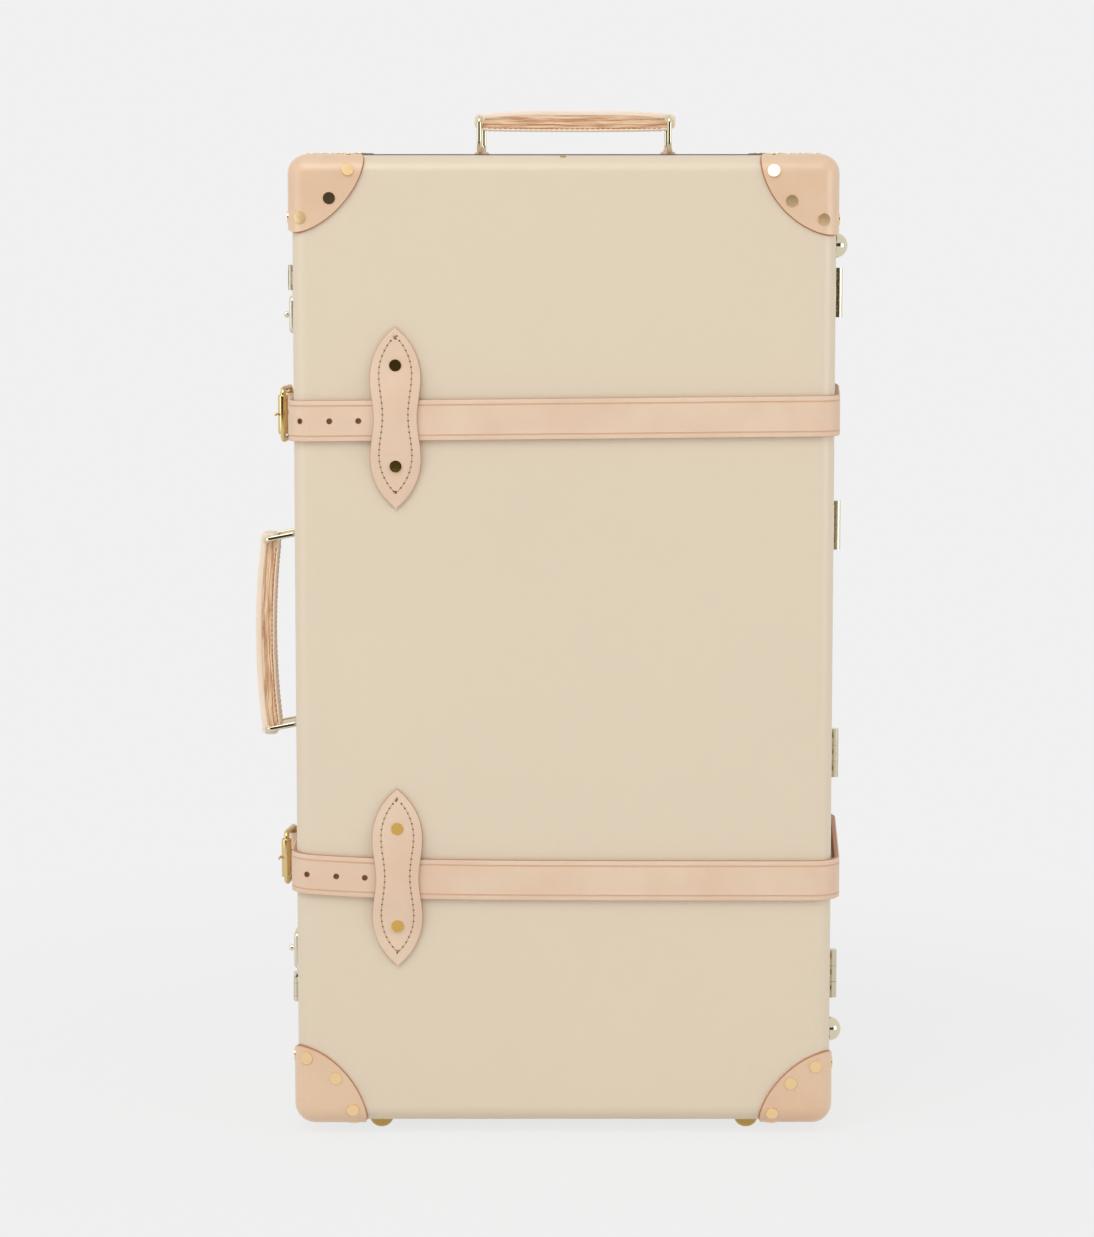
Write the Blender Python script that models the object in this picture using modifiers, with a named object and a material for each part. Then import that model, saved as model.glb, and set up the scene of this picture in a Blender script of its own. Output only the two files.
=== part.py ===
"""Upright travelling case: shallow lid, deep base, leather corners, two buckled straps, two handles."""

import math

import bmesh
import bpy
from mathutils import Euler, Vector

# Case board, in metres. Depths run from the seam between lid and base to each panel.
FACE_WIDTH = 0.4333
FACE_HEIGHT = 0.783
LID_DEPTH = 0.065
BASE_DEPTH = 0.175
WALL = 0.003
EDGE_RADIUS = 0.012
CORNER_EXTRA = 0.002

# Clearances
SEAT_GAP = 0.0003
RUNNING_GAP = 0.0004
SEAM_GAP = 0.0010
LIP_GAP = 0.0005

# Inside
LINING = 0.0015
FRAME_THICKNESS = 0.006
FRAME_INSIDE = 0.030
FRAME_LIP = 0.008
LINING_MARGIN = 0.003

# Leather corners
CAP_THICKNESS = 0.0022
CAP_REACH = 0.061

# Feet
FOOT_HEIGHT = 0.0101
FOOT_RADIUS = 0.010
FOOT_FLAT = 0.0035
FOOT_STRAIGHT = 0.0030
FOOT_FROM_PANEL = 0.030
FOOT_FROM_SIDE = 0.067
FOOT_FROM_END = 0.0715

# Hinges: one pair near the ends of the case, one about its middle
HINGE_FROM_END = 0.1105
HINGE_FROM_MIDDLE = 0.094
HINGE_PAIR_DROP = 0.0024
HINGE_LENGTH = 0.040
HINGE_KNUCKLES = 3
HINGE_BARREL = 0.0040
HINGE_PIN = 0.0018
BARREL_LIFT = 0.0012
LEAF_THICKNESS = 0.0016
LEAF_WIDTH = 0.017

# Handles
TOP_HANDLE_SPACING = 0.153
SIDE_HANDLE_SPACING = 0.1585
SIDE_HANDLE_LIFT = 0.0015
HANDLE_FROM_SEAM = 0.055
TOP_HANDLE_X = 0.009
LOOP_WIRE = 0.0020
LOOP_LENGTH = 0.0272
LOOP_WIDTH = 0.036
LOOP_CORNER = 0.0045
MOUNT_WIDTH = 0.026
MOUNT_FLANGE = 0.012
MOUNT_FLANGE_THICKNESS = 0.0020
MOUNT_EYE = 0.0034
MOUNT_FLOOR = 0.0005
GRIP_WIDTH = 0.028
GRIP_ABOVE = 0.0056
GRIP_BELOW = 0.0115
GRIP_END = 0.0045
GRIP_SHOULDER = 0.0040
TOP_GRIP_BOW = 0.0006
SIDE_GRIP_BOW = 0.0030
SIDE_LOOP_DROOP = math.radians(11.2)

# Straps
STRAP_WIDTH = 0.0325
STRAP_THICKNESS = 0.004
UPPER_STRAP_FROM_TOP = 0.2105
LOWER_STRAP_FROM_BOTTOM = 0.205
STRAP_BREAK = 0.0012

# Buckles on the left wall
BUCKLE_NEAR = 0.013
BUCKLE_LENGTH = 0.034
BUCKLE_WIRE = 0.0022
BUCKLE_SIDE_GAP = 0.00235
BUCKLE_NEAR_CORNER = 0.0045
BUCKLE_RISE = 0.0038
ROLLER = 0.0041
ROLLER_LENGTH = 0.032
BUCKLE_BAR_CORNER = 0.0024
PRONG_WIRE = 0.0014
PRONG_OVERHANG = 0.005
PRONG_SLOT = 0.0048
CHAPE_LIFT = 0.0024
CHAPE_RAMP = 0.016
CHAPE_FLAT = 0.0075
TAIL_MARGIN = 0.0015

# Strap keepers on the lid panel
KEEPER_LENGTH = 0.1444
KEEPER_LOBE = 0.0407
KEEPER_WAIST = 0.0347
KEEPER_LOBE_AT = 0.032
KEEPER_TIP = 0.0012
KEEPER_THICKNESS = 0.0027
KEEPER_RISE_LENGTH = 0.010
KEEPER_FROM_SIDE = 0.082
UPPER_KEEPER_LIFT = 0.0025
LOWER_KEEPER_LIFT = -0.0018

# Locks on the left wall
LOCK_FROM_END = 0.088
LOCK_LENGTH = 0.056
LOCK_WIDTH = 0.028
LOCK_FROM_SEAM = 0.002
LOCK_THICKNESS = 0.004
LOCK_EDGE = 0.0010
BOSS_LENGTH = 0.0305
BOSS_THICKNESS = 0.0063
BUTTON_FROM_END = 0.015
BUTTON_FROM_FRONT = 0.012
BUTTON_STEM = 0.0014
BUTTON_HEAD = 0.0026
BUTTON_RISE = 0.0050
BUTTON_NECK = 0.0012
BUTTON_TRAVEL = 0.005
BUTTON_FLOOR = 0.0012
HASP_FROM_END = 0.0105
HASP_WIDTH = 0.020
HASP_NECK = 0.011
HASP_THICKNESS = 0.0018
HASP_PIVOT_BACK = 0.008
HASP_REACH = 0.0165
HASP_BARREL = 0.0019
HASP_PIN = 0.0009
HASP_LIP = 0.0012
EAR_LENGTH = 0.0040
HASP_PLATE_THICKNESS = 0.0013
HASP_PLATE_WIDTH = 0.013

# Fineness of the round shapes
CORNER_STEPS = 5
EDGE_STEPS = 4
ARC_STEPS = 4
ROUND_SIDES = 16
WIRE_RESOLUTION = 2
CAP_SPHERE_SIDES = 32
KEEPER_ROWS = 44
SMOOTH_ANGLE = math.radians(35)
TOLERANCE = 1e-6

# Places that follow from the sizes. The case frame has x across, y back from the seam, z up from the floor.
HALF_WIDTH = FACE_WIDTH / 2
HALF_HEIGHT = FACE_HEIGHT / 2
CORNER_RADIUS = EDGE_RADIUS + CORNER_EXTRA
CASE_BOTTOM = FOOT_HEIGHT + SEAT_GAP
CASE_TOP = CASE_BOTTOM + FACE_HEIGHT
CASE_MIDDLE = CASE_BOTTOM + HALF_HEIGHT
LID_RIM = -SEAM_GAP / 2
BASE_RIM = SEAM_GAP / 2
HINGE_AXIS_OUT = HINGE_BARREL + BARREL_LIFT
LOOP_PIVOT_OUT = SEAT_GAP + MOUNT_FLOOR + LOOP_WIRE + SEAT_GAP
STRAP_OUT = SEAT_GAP + STRAP_THICKNESS
CHAPE_RADIUS = BUCKLE_WIRE + RUNNING_GAP + STRAP_THICKNESS
BUCKLE_BAR = BUCKLE_NEAR + BUCKLE_LENGTH
BUCKLE_OUT = CHAPE_RADIUS + CHAPE_LIFT
TAIL_END = BUCKLE_BAR - CHAPE_RADIUS - TAIL_MARGIN
LOCK_OUT = SEAT_GAP + LOCK_THICKNESS
BOSS_OUT = SEAT_GAP + BOSS_THICKNESS
HASP_PIVOT_OUT = SEAT_GAP + HASP_PLATE_THICKNESS + RUNNING_GAP + HASP_BARREL
STRAP_HEIGHTS = {
    "upper": CASE_TOP - UPPER_STRAP_FROM_TOP,
    "lower": CASE_BOTTOM + LOWER_STRAP_FROM_BOTTOM,
}
KEEPER_LIFTS = {"upper": UPPER_KEEPER_LIFT, "lower": LOWER_KEEPER_LIFT}

# The origin stands under the middle of the whole object.
LEFT_REACH = (
    HALF_WIDTH + LOOP_PIVOT_OUT + LOOP_LENGTH * math.cos(SIDE_LOOP_DROOP) + GRIP_ABOVE + SIDE_GRIP_BOW)
RIGHT_REACH = HALF_WIDTH + SEAT_GAP + FOOT_HEIGHT
FRONT_REACH = LID_DEPTH + STRAP_OUT + SEAT_GAP + KEEPER_THICKNESS
BACK_REACH = BASE_DEPTH + STRAP_OUT
CASE_ORIGIN = ((LEFT_REACH - RIGHT_REACH) / 2, (FRONT_REACH - BACK_REACH) / 2, 0)

for old in list(bpy.data.objects):
    bpy.data.objects.remove(old)

parts = bpy.data.collections.new("suitcase")
cutters = bpy.data.collections.new("suitcase_cutters")
for collection in (parts, cutters):
    bpy.context.scene.collection.children.link(collection)


# Materials

def finish(name, red, green, blue, roughness, metallic=0.0):
    """Principled material from a display colour of 0 to 255."""
    made = bpy.data.materials.new(name)
    made.use_nodes = True
    shader = made.node_tree.nodes["Principled BSDF"]
    colour = [(channel / 255) ** 2.2 for channel in (red, green, blue)]
    shader.inputs["Base Color"].default_value = (*colour, 1)
    shader.inputs["Roughness"].default_value = roughness
    shader.inputs["Metallic"].default_value = metallic
    made.diffuse_color = (*colour, 1)
    return made


BOARD = finish("ivory_board", 226, 210, 186, 0.45)
LEATHER = finish("natural_leather", 231, 200, 170, 0.55)
GRIP_LEATHER = finish("grip_leather", 218, 178, 143, 0.6)
BRASS = finish("polished_brass", 214, 184, 120, 0.18, 1.0)
WOOD = finish("ash_wood", 205, 178, 140, 0.5)
FABRIC = finish("lining_fabric", 222, 212, 194, 0.85)


# Objects and meshes

def carrier(name, at=(0, 0, 0), above=None):
    """Empty that carries parts, with its place in the case frame kept on it."""
    empty = bpy.data.objects.new(name, None)
    parts.objects.link(empty)
    empty.empty_display_size = HALF_WIDTH / 10
    empty["at"] = at
    if above is None:
        empty.location = CASE_ORIGIN
        return empty
    empty.parent = above
    empty.location = Vector(at) - Vector(above["at"])
    return empty


def part(name, mesh, material, on, at=(0, 0, 0), turn=0.0):
    """Named piece at a place in the case frame, turned about Y and carried by an empty."""
    piece = bpy.data.objects.new(name, mesh)
    parts.objects.link(piece)
    piece.parent = on
    piece.location = Vector(at) - Vector(on["at"])
    piece.rotation_euler = Euler((0, turn, 0))
    if not mesh.materials:
        mesh.materials.append(material)
    mesh.shade_smooth()
    mesh.set_sharp_from_angle(angle=SMOOTH_ANGLE)
    return piece


def finished(build):
    """Mesh data from a bmesh."""
    mesh = bpy.data.meshes.new("shape")
    build.to_mesh(mesh)
    build.free()
    return mesh


def evaluated(temporary):
    """Mesh of a temporary object after its modifiers; the object goes."""
    bpy.context.view_layer.update()
    graph = bpy.context.evaluated_depsgraph_get()
    mesh = bpy.data.meshes.new_from_object(temporary.evaluated_get(graph))
    bpy.data.objects.remove(temporary)
    return mesh


def shaped(operation, body, *tools):
    """Mesh of body with each tool mesh joined to it or cut from it."""
    subject = bpy.data.objects.new("subject", body)
    cutters.objects.link(subject)
    helpers = []
    for tool in tools:
        helper = bpy.data.objects.new("helper", tool)
        cutters.objects.link(helper)
        helpers.append(helper)
        boolean = subject.modifiers.new("shape", "BOOLEAN")
        boolean.operation = operation
        boolean.object = helper
    mesh = evaluated(subject)
    for helper in helpers:
        bpy.data.objects.remove(helper)
    return mesh


def box(first, second, edge=0.0):
    """Box between two opposite corners, with rounded edges if edge is set."""
    low, high = Vector(map(min, first, second)), Vector(map(max, first, second))
    build = bmesh.new()
    bmesh.ops.create_cube(build, size=1)
    bmesh.ops.scale(build, vec=high - low, verts=build.verts)
    bmesh.ops.translate(build, vec=(high + low) / 2, verts=build.verts)
    if edge:
        bmesh.ops.bevel(
            build, geom=build.edges[:], offset=edge, segments=2, profile=0.5, affect="EDGES")
    return finished(build)


def rod(radius, start, end):
    """Round rod between two points."""
    start, end = Vector(start), Vector(end)
    placed = (end - start).to_track_quat("Z", "Y").to_matrix().to_4x4()
    placed.translation = (start + end) / 2
    build = bmesh.new()
    bmesh.ops.create_cone(
        build, cap_ends=True, segments=ROUND_SIDES, radius1=radius, radius2=radius,
        depth=(end - start).length, matrix=placed)
    return finished(build)


def turned(profile):
    """Solid turned about Z from (radius, height) points that run down its outer side."""
    build = bmesh.new()
    points = [build.verts.new((radius, 0, height)) for radius, height in profile]
    for first, second in zip(points, points[1:]):
        build.edges.new((first, second))
    spun = bpy.data.objects.new("spun", finished(build))
    cutters.objects.link(spun)
    screw = spun.modifiers.new("turn", "SCREW")
    screw.steps = screw.render_steps = ROUND_SIDES
    screw.use_merge_vertices = True
    screw.merge_threshold = 1e-5
    return evaluated(spun)


def arc(centre, radius, start, end, steps=ARC_STEPS):
    """Points on a plane arc, with its angles in degrees."""
    angles = [math.radians(start + (end - start) * step / steps) for step in range(steps + 1)]
    return [(centre[0] + radius * math.cos(a), centre[1] + radius * math.sin(a)) for a in angles]


def rounded_rectangle(low, high, low_corner, high_corner):
    """Closed outline with one corner radius at the low end of its first axis and another at the high end."""
    points = []
    for x, y, radius, start in (
            (high[0], high[1], high_corner, 0), (low[0], high[1], low_corner, 90),
            (low[0], low[1], low_corner, 180), (high[0], low[1], high_corner, 270)):
        centre_x = x + math.copysign(radius, low[0] + high[0] - 2 * x)
        centre_y = y + math.copysign(radius, low[1] + high[1] - 2 * y)
        points += arc((centre_x, centre_y), radius, start, start + 90)
    return points


def wire(points, radius, closed=True):
    """Mesh of a round wire through the points."""
    data = bpy.data.curves.new("wire", "CURVE")
    data.dimensions = "3D"
    data.bevel_depth = radius
    data.bevel_resolution = WIRE_RESOLUTION
    data.use_fill_caps = True
    spline = data.splines.new("POLY")
    spline.points.add(len(points) - 1)
    spline.use_cyclic_u = closed
    for target, point in zip(spline.points, points):
        target.co = (*point, 1)
    line = bpy.data.objects.new("wire", data)
    cutters.objects.link(line)
    build = bmesh.new()
    build.from_mesh(evaluated(line))
    bpy.data.curves.remove(data)
    bmesh.ops.remove_doubles(build, verts=build.verts, dist=TOLERANCE)
    bmesh.ops.recalc_face_normals(build, faces=build.faces)
    return finished(build)


def slab(outline, low, high):
    """Outline in x and y made a solid between two heights."""
    build = bmesh.new()
    face = build.faces.new([build.verts.new((x, y, low)) for x, y in outline])
    pulled = bmesh.ops.extrude_face_region(build, geom=[face], use_keep_orig=True)["geom"]
    far = [v for v in pulled if isinstance(v, bmesh.types.BMVert)]
    bmesh.ops.translate(build, vec=(0, 0, high - low), verts=far)
    bmesh.ops.recalc_face_normals(build, faces=build.faces)
    return finished(build)


def solidify(piece, thickness, offset):
    """Wall on an open surface: offset -1 lies inside it and +1 outside."""
    wall = piece.modifiers.new("wall", "SOLIDIFY")
    wall.thickness = thickness
    wall.offset = offset
    wall.use_even_offset = True


# Case boards, frame and lining

def at_depth(elements, depth):
    """Edges or faces that lie at one depth."""
    return [e for e in elements if all(abs(v.co.y - depth) < TOLERANCE for v in e.verts)]


def rounded_block(front, back, grow):
    """Block of the case's outline between two depths, its long edges rounded and its walls moved out by grow."""
    build = bmesh.new()
    bmesh.ops.create_cube(build, size=1)
    size = (FACE_WIDTH + 2 * grow, back - front, FACE_HEIGHT + 2 * grow)
    bmesh.ops.scale(build, vec=size, verts=build.verts)
    bmesh.ops.translate(build, vec=(0, (front + back) / 2, CASE_MIDDLE), verts=build.verts)
    depth_edges = [e for e in build.edges if abs(e.verts[0].co.y - e.verts[1].co.y) > TOLERANCE]
    bmesh.ops.bevel(
        build, geom=depth_edges, offset=CORNER_RADIUS + grow, segments=CORNER_STEPS, profile=0.5,
        affect="EDGES")
    return build


def tray(panel, mouth, grow):
    """Open tray between the depths of its panel and its mouth, panel edge rounded, moved out by grow."""
    panel += math.copysign(1, panel) * grow
    build = rounded_block(min(panel, mouth), max(panel, mouth), grow)
    bmesh.ops.bevel(
        build, geom=at_depth(build.edges, panel), offset=EDGE_RADIUS + grow, segments=EDGE_STEPS,
        profile=0.5, affect="EDGES")
    bmesh.ops.delete(build, geom=at_depth(build.faces, mouth), context="FACES")
    return finished(build)


def make_case():
    lid_shell = part("lid_shell", tray(-LID_DEPTH, LID_RIM, 0), BOARD, lid)
    base_shell = part("base_shell", tray(BASE_DEPTH, BASE_RIM, 0), BOARD, base)
    for shell in (lid_shell, base_shell):
        solidify(shell, WALL, -1)

    inside = -(WALL + SEAT_GAP)
    lid_lining = tray(-LID_DEPTH, -FRAME_LIP - LINING_MARGIN, inside)
    base_lining = tray(BASE_DEPTH, FRAME_INSIDE + SEAT_GAP, inside)
    solidify(part("lid_lining", lid_lining, FABRIC, lid), LINING, -1)
    solidify(part("base_lining", base_lining, FABRIC, base), LINING, -1)

    ring = rounded_block(-FRAME_LIP, FRAME_INSIDE, -(WALL + LIP_GAP))
    ends = at_depth(ring.faces, -FRAME_LIP) + at_depth(ring.faces, FRAME_INSIDE)
    bmesh.ops.delete(ring, geom=ends, context="FACES")
    solidify(part("base_frame", finished(ring), WOOD, base), FRAME_THICKNESS, -1)


# Leather corners

def make_corner(name, panel, mouth, on, side, height):
    """Leather cap: the part of a skin over the tray that lies within reach of one corner."""
    skin = part(name, tray(panel, mouth, SEAT_GAP + CAP_THICKNESS), LEATHER, on)
    solidify(skin, CAP_THICKNESS, -1)
    build = bmesh.new()
    bmesh.ops.create_uvsphere(
        build, u_segments=CAP_SPHERE_SIDES, v_segments=CAP_SPHERE_SIDES // 2, radius=CAP_REACH)
    reach = bpy.data.objects.new(name + "_reach", finished(build))
    cutters.objects.link(reach)
    reach.parent = on
    reach.location = Vector((side * HALF_WIDTH, panel, height)) - Vector(on["at"])
    reach.hide_render = True
    reach.display_type = "WIRE"
    cut = skin.modifiers.new("reach", "BOOLEAN")
    cut.operation = "INTERSECT"
    cut.object = reach


def make_corners():
    for body, panel, mouth, on in (("lid", -LID_DEPTH, LID_RIM, lid), ("base", BASE_DEPTH, BASE_RIM, base)):
        for level, height in (("top", CASE_TOP), ("bottom", CASE_BOTTOM)):
            for hand, side in (("left", -1), ("right", 1)):
                make_corner(f"{body}_corner_{level}_{hand}", panel, mouth, on, side, height)


# Feet

def make_feet():
    """Turned feet under the case and on its hinge side, on the lid and on the base alike."""
    dome = [
        (FOOT_FLAT + (FOOT_RADIUS - FOOT_FLAT) * x, FOOT_STRAIGHT + (FOOT_HEIGHT - FOOT_STRAIGHT) * y)
        for x, y in arc((0, 0), 1, 90, 0)]
    foot = turned([(0, FOOT_HEIGHT), *dome, (FOOT_RADIUS, 0), (0, 0)])
    rows = (("lid", lid, FOOT_FROM_PANEL - LID_DEPTH), ("base", base, BASE_DEPTH - FOOT_FROM_PANEL))
    for body, on, depth in rows:
        for hand, side in (("left", -1), ("right", 1)):
            at = (side * (HALF_WIDTH - FOOT_FROM_SIDE), depth, CASE_BOTTOM - SEAT_GAP)
            part(f"{body}_foot_{hand}", foot, BRASS, on, at, math.pi)
        for level, up in (("upper", 1), ("lower", -1)):
            at = (HALF_WIDTH + SEAT_GAP, depth, CASE_MIDDLE + up * (HALF_HEIGHT - FOOT_FROM_END))
            part(f"{body}_side_foot_{level}", foot, BRASS, on, at, math.pi / 2)


# Hinges

def leaf_mesh(side, knuckles):
    """Plate, tabs and barrels of a hinge leaf about its pin: side is -1 for the lid and 1 for the base."""
    inner = SEAT_GAP - HINGE_AXIS_OUT
    outer = inner + LEAF_THICKNESS
    clear = HINGE_BARREL + RUNNING_GAP
    plate = box((inner, side * clear, -HINGE_LENGTH / 2), (outer, side * LEAF_WIDTH, HINGE_LENGTH / 2))
    pieces = []
    for low, high in knuckles:
        pieces.append(box((inner, 0, low), (outer, side * (clear + LEAF_THICKNESS), high)))
        pieces.append(rod(HINGE_BARREL, (0, 0, low), (0, 0, high)))
    return shaped("UNION", plate, *pieces)


def make_hinges():
    end = HINGE_LENGTH / 2
    pitch = HINGE_LENGTH / HINGE_KNUCKLES
    spans = [(n * pitch - end, (n + 1) * pitch - end) for n in range(HINGE_KNUCKLES)]
    between = [(low + SEAT_GAP, high - SEAT_GAP) for low, high in spans[1::2]]
    bore = rod(HINGE_PIN + SEAT_GAP, (0, 0, -end), (0, 0, end))
    pin_end = end - pitch / 2
    pin = rod(HINGE_PIN, (0, 0, -pin_end), (0, 0, pin_end))
    lid_leaf = shaped("DIFFERENCE", leaf_mesh(-1, between), bore)
    base_leaf = shaped("UNION", leaf_mesh(1, spans[0::2]), pin)
    pair = CASE_MIDDLE - HINGE_PAIR_DROP
    heights = (
        CASE_TOP - HINGE_FROM_END, pair + HINGE_FROM_MIDDLE,
        pair - HINGE_FROM_MIDDLE, CASE_BOTTOM + HINGE_FROM_END)
    for number, height in enumerate(heights, 1):
        at = (HALF_WIDTH + HINGE_AXIS_OUT, 0, height)
        part(f"hinge_{number}_lid_leaf", lid_leaf, BRASS, lid, at)
        part(f"hinge_{number}_base_leaf", base_leaf, BRASS, base, at)


# Handles: two mounts, two wire loops and a grip, drawn standing on a wall that faces up

def mount_mesh():
    """Eye that holds a loop's inner bar, on a flange that lies on the wall."""
    half = MOUNT_WIDTH / 2
    flange = box(
        (-MOUNT_FLANGE / 2, -half, SEAT_GAP),
        (MOUNT_FLANGE / 2, half, SEAT_GAP + MOUNT_FLANGE_THICKNESS))
    eye = rod(MOUNT_EYE, (0, -half, LOOP_PIVOT_OUT), (0, half, LOOP_PIVOT_OUT))
    bore = rod(LOOP_WIRE + SEAT_GAP, (0, -MOUNT_WIDTH, LOOP_PIVOT_OUT), (0, MOUNT_WIDTH, LOOP_PIVOT_OUT))
    wall = box((-MOUNT_FLANGE, -MOUNT_WIDTH, -MOUNT_FLANGE), (MOUNT_FLANGE, MOUNT_WIDTH, SEAT_GAP))
    return shaped("DIFFERENCE", shaped("UNION", flange, eye), bore, wall)


def loop_mesh():
    """Wire ring across the handle, its inner bar at the origin."""
    half = LOOP_WIDTH / 2
    outline = rounded_rectangle((0, -half), (LOOP_LENGTH, half), LOOP_CORNER, LOOP_CORNER)
    return wire([(0, y, z) for z, y in outline], LOOP_WIRE)


def grip_mesh(spacing, bow):
    """Bowed bar with rounded ends, bored for the loops' outer bars, which lie at its height zero."""
    half = spacing / 2
    shoulder = half - GRIP_SHOULDER
    span = [n / 4 - 1 for n in range(9)]
    top = [(-x * shoulder, GRIP_END + (GRIP_ABOVE + bow - GRIP_END) * (1 - x * x)) for x in span]
    underside = [(x * shoulder, -GRIP_BELOW + bow * (1 - x * x)) for x in span]
    outline = [
        *arc((half, 0), GRIP_END, -90, 80), *top, *arc((-half, 0), GRIP_END, 100, 270),
        (-shoulder, -GRIP_END), *underside, (shoulder, -GRIP_END)]
    bar = slab(outline, -GRIP_WIDTH / 2, GRIP_WIDTH / 2)
    bar.transform(Euler((math.pi / 2, 0, 0)).to_matrix().to_4x4())
    bores = [
        rod(LOOP_WIRE + SEAT_GAP, (x, -GRIP_WIDTH, 0), (x, GRIP_WIDTH, 0)) for x in (-half, half)]
    return shaped("DIFFERENCE", bar, *bores)


def make_handle(name, ends, spacing, along, middle, turn, lean, bow):
    """Handle about a point of a wall, its two mounts along an axis. Turn faces it out and lean tips its loops."""
    along, middle = Vector(along), Vector(middle)
    outwards = Euler((0, turn, 0)).to_matrix() @ Vector((0, 0, 1))
    standing = Euler((0, turn + lean, 0)).to_matrix() @ Vector((0, 0, 1))
    axes = []
    for end, side in zip(ends, (-0.5, 0.5)):
        on_wall = middle + side * spacing * along
        pivot = on_wall + LOOP_PIVOT_OUT * outwards
        part(f"{name}_mount_{end}", mount_shape, LEATHER, base, on_wall, turn)
        axes.append(carrier(f"{name}_loop_{end}_axis", pivot, base))
        part(f"{name}_loop_{end}", loop_shape, BRASS, axes[-1], pivot, turn + lean)
    bar = Vector(axes[0]["at"]) + LOOP_LENGTH * standing
    grip_axis = carrier(f"{name}_grip_axis", bar, axes[0])
    part(f"{name}_grip", grip_mesh(spacing, bow), GRIP_LEATHER, grip_axis, bar + spacing / 2 * along, turn)


# Straps

def left(out):
    """Case-frame x at that distance out from the left wall."""
    return -HALF_WIDTH - out


def strip(path, height):
    """Strap-wide open surface that follows a plan path, its normal to the right of the way the path runs."""
    build = bmesh.new()
    low = [build.verts.new((x, y, height - STRAP_WIDTH / 2)) for x, y in path]
    high = [build.verts.new((x, y, height + STRAP_WIDTH / 2)) for x, y in path]
    for n in range(len(path) - 1):
        build.faces.new((low[n], low[n + 1], high[n + 1], high[n]))
    return finished(build)


def lid_strap_path():
    """From the tail on the left wall, round the lid's panel, to the hinge side."""
    bend = EDGE_RADIUS + SEAT_GAP
    front = EDGE_RADIUS - LID_DEPTH
    return [
        (left(SEAT_GAP), TAIL_END),
        *arc((EDGE_RADIUS - HALF_WIDTH, front), bend, 180, 270),
        *arc((HALF_WIDTH - EDGE_RADIUS, front), bend, 270, 360),
        (HALF_WIDTH + SEAT_GAP, -STRAP_BREAK)]


def base_strap_path():
    """From the hinge side, round the base's panel, to the fold that holds the buckle's bar."""
    bend = EDGE_RADIUS + SEAT_GAP
    back = BASE_DEPTH - EDGE_RADIUS
    ramp_start = BUCKLE_BAR + CHAPE_RADIUS + CHAPE_RAMP
    folded_back = STRAP_OUT + SEAT_GAP + STRAP_THICKNESS
    fold = [
        (left(BUCKLE_OUT + across), BUCKLE_BAR - forward)
        for forward, across in arc((0, 0), CHAPE_RADIUS, -90, 90, 2 * ARC_STEPS)]
    return [
        (HALF_WIDTH + SEAT_GAP, STRAP_BREAK),
        *arc((HALF_WIDTH - EDGE_RADIUS, back), bend, 0, 90),
        *arc((EDGE_RADIUS - HALF_WIDTH, back), bend, 90, 180),
        (left(SEAT_GAP), ramp_start),
        *fold,
        (left(BUCKLE_OUT + CHAPE_RADIUS), BUCKLE_BAR + CHAPE_RADIUS / 2),
        (left(folded_back), ramp_start),
        (left(folded_back), ramp_start + CHAPE_FLAT)]


def make_straps():
    for level, height in STRAP_HEIGHTS.items():
        lid_strap = part(f"{level}_strap_front", strip(lid_strap_path(), height), LEATHER, lid)
        solidify(lid_strap, STRAP_THICKNESS, 1)
        base_strap = bpy.data.objects.new("strap", strip(base_strap_path(), height))
        cutters.objects.link(base_strap)
        solidify(base_strap, STRAP_THICKNESS, 1)
        slot = box(
            (left(0), BUCKLE_BAR - 2 * CHAPE_RADIUS, height - PRONG_SLOT / 2),
            (left(BUCKLE_OUT + 2 * CHAPE_RADIUS), BUCKLE_BAR + CHAPE_RADIUS, height + PRONG_SLOT / 2))
        part(f"{level}_strap_back", shaped("DIFFERENCE", evaluated(base_strap), slot), LEATHER, base)


# Buckles

def make_buckles():
    """Frames, prongs and rollers drawn about the bar in the fold; the near bar stands higher, towards the seam."""
    half = STRAP_WIDTH / 2 + BUCKLE_SIDE_GAP + BUCKLE_WIRE
    outline = rounded_rectangle((-BUCKLE_LENGTH, -half), (0, half), BUCKLE_NEAR_CORNER, BUCKLE_BAR_CORNER)
    slope = BUCKLE_RISE / BUCKLE_LENGTH
    frame = wire([(y * slope, y, z) for y, z in outline], BUCKLE_WIRE)
    ring = BUCKLE_WIRE + RUNNING_GAP + PRONG_WIRE
    hook = arc((0, 0), ring, -60, 180, 3 * ARC_STEPS)
    over = BUCKLE_RISE + ROLLER + RUNNING_GAP + PRONG_WIRE
    path = [*hook, (-over, -BUCKLE_LENGTH), (-over, -BUCKLE_LENGTH - PRONG_OVERHANG)]
    prong = wire([(x, y, 0) for x, y in path], PRONG_WIRE, closed=False)
    roller = shaped(
        "DIFFERENCE", rod(ROLLER, (0, 0, -ROLLER_LENGTH / 2), (0, 0, ROLLER_LENGTH / 2)),
        rod(BUCKLE_WIRE + RUNNING_GAP, (0, 0, -ROLLER_LENGTH), (0, 0, ROLLER_LENGTH)))
    for level, height in STRAP_HEIGHTS.items():
        at = (left(BUCKLE_OUT), BUCKLE_BAR, height)
        buckle_axis = carrier(f"{level}_buckle_axis", at, base)
        prong_axis = carrier(f"{level}_prong_axis", at, buckle_axis)
        part(f"{level}_buckle_frame", frame, BRASS, buckle_axis, at)
        part(f"{level}_buckle_prong", prong, BRASS, prong_axis, at)
        near = (left(BUCKLE_OUT + BUCKLE_RISE), BUCKLE_NEAR, height)
        roller_axis = carrier(f"{level}_roller_axis", near, buckle_axis)
        part(f"{level}_buckle_roller", roller, BRASS, roller_axis, near)


# Strap keepers

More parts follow.
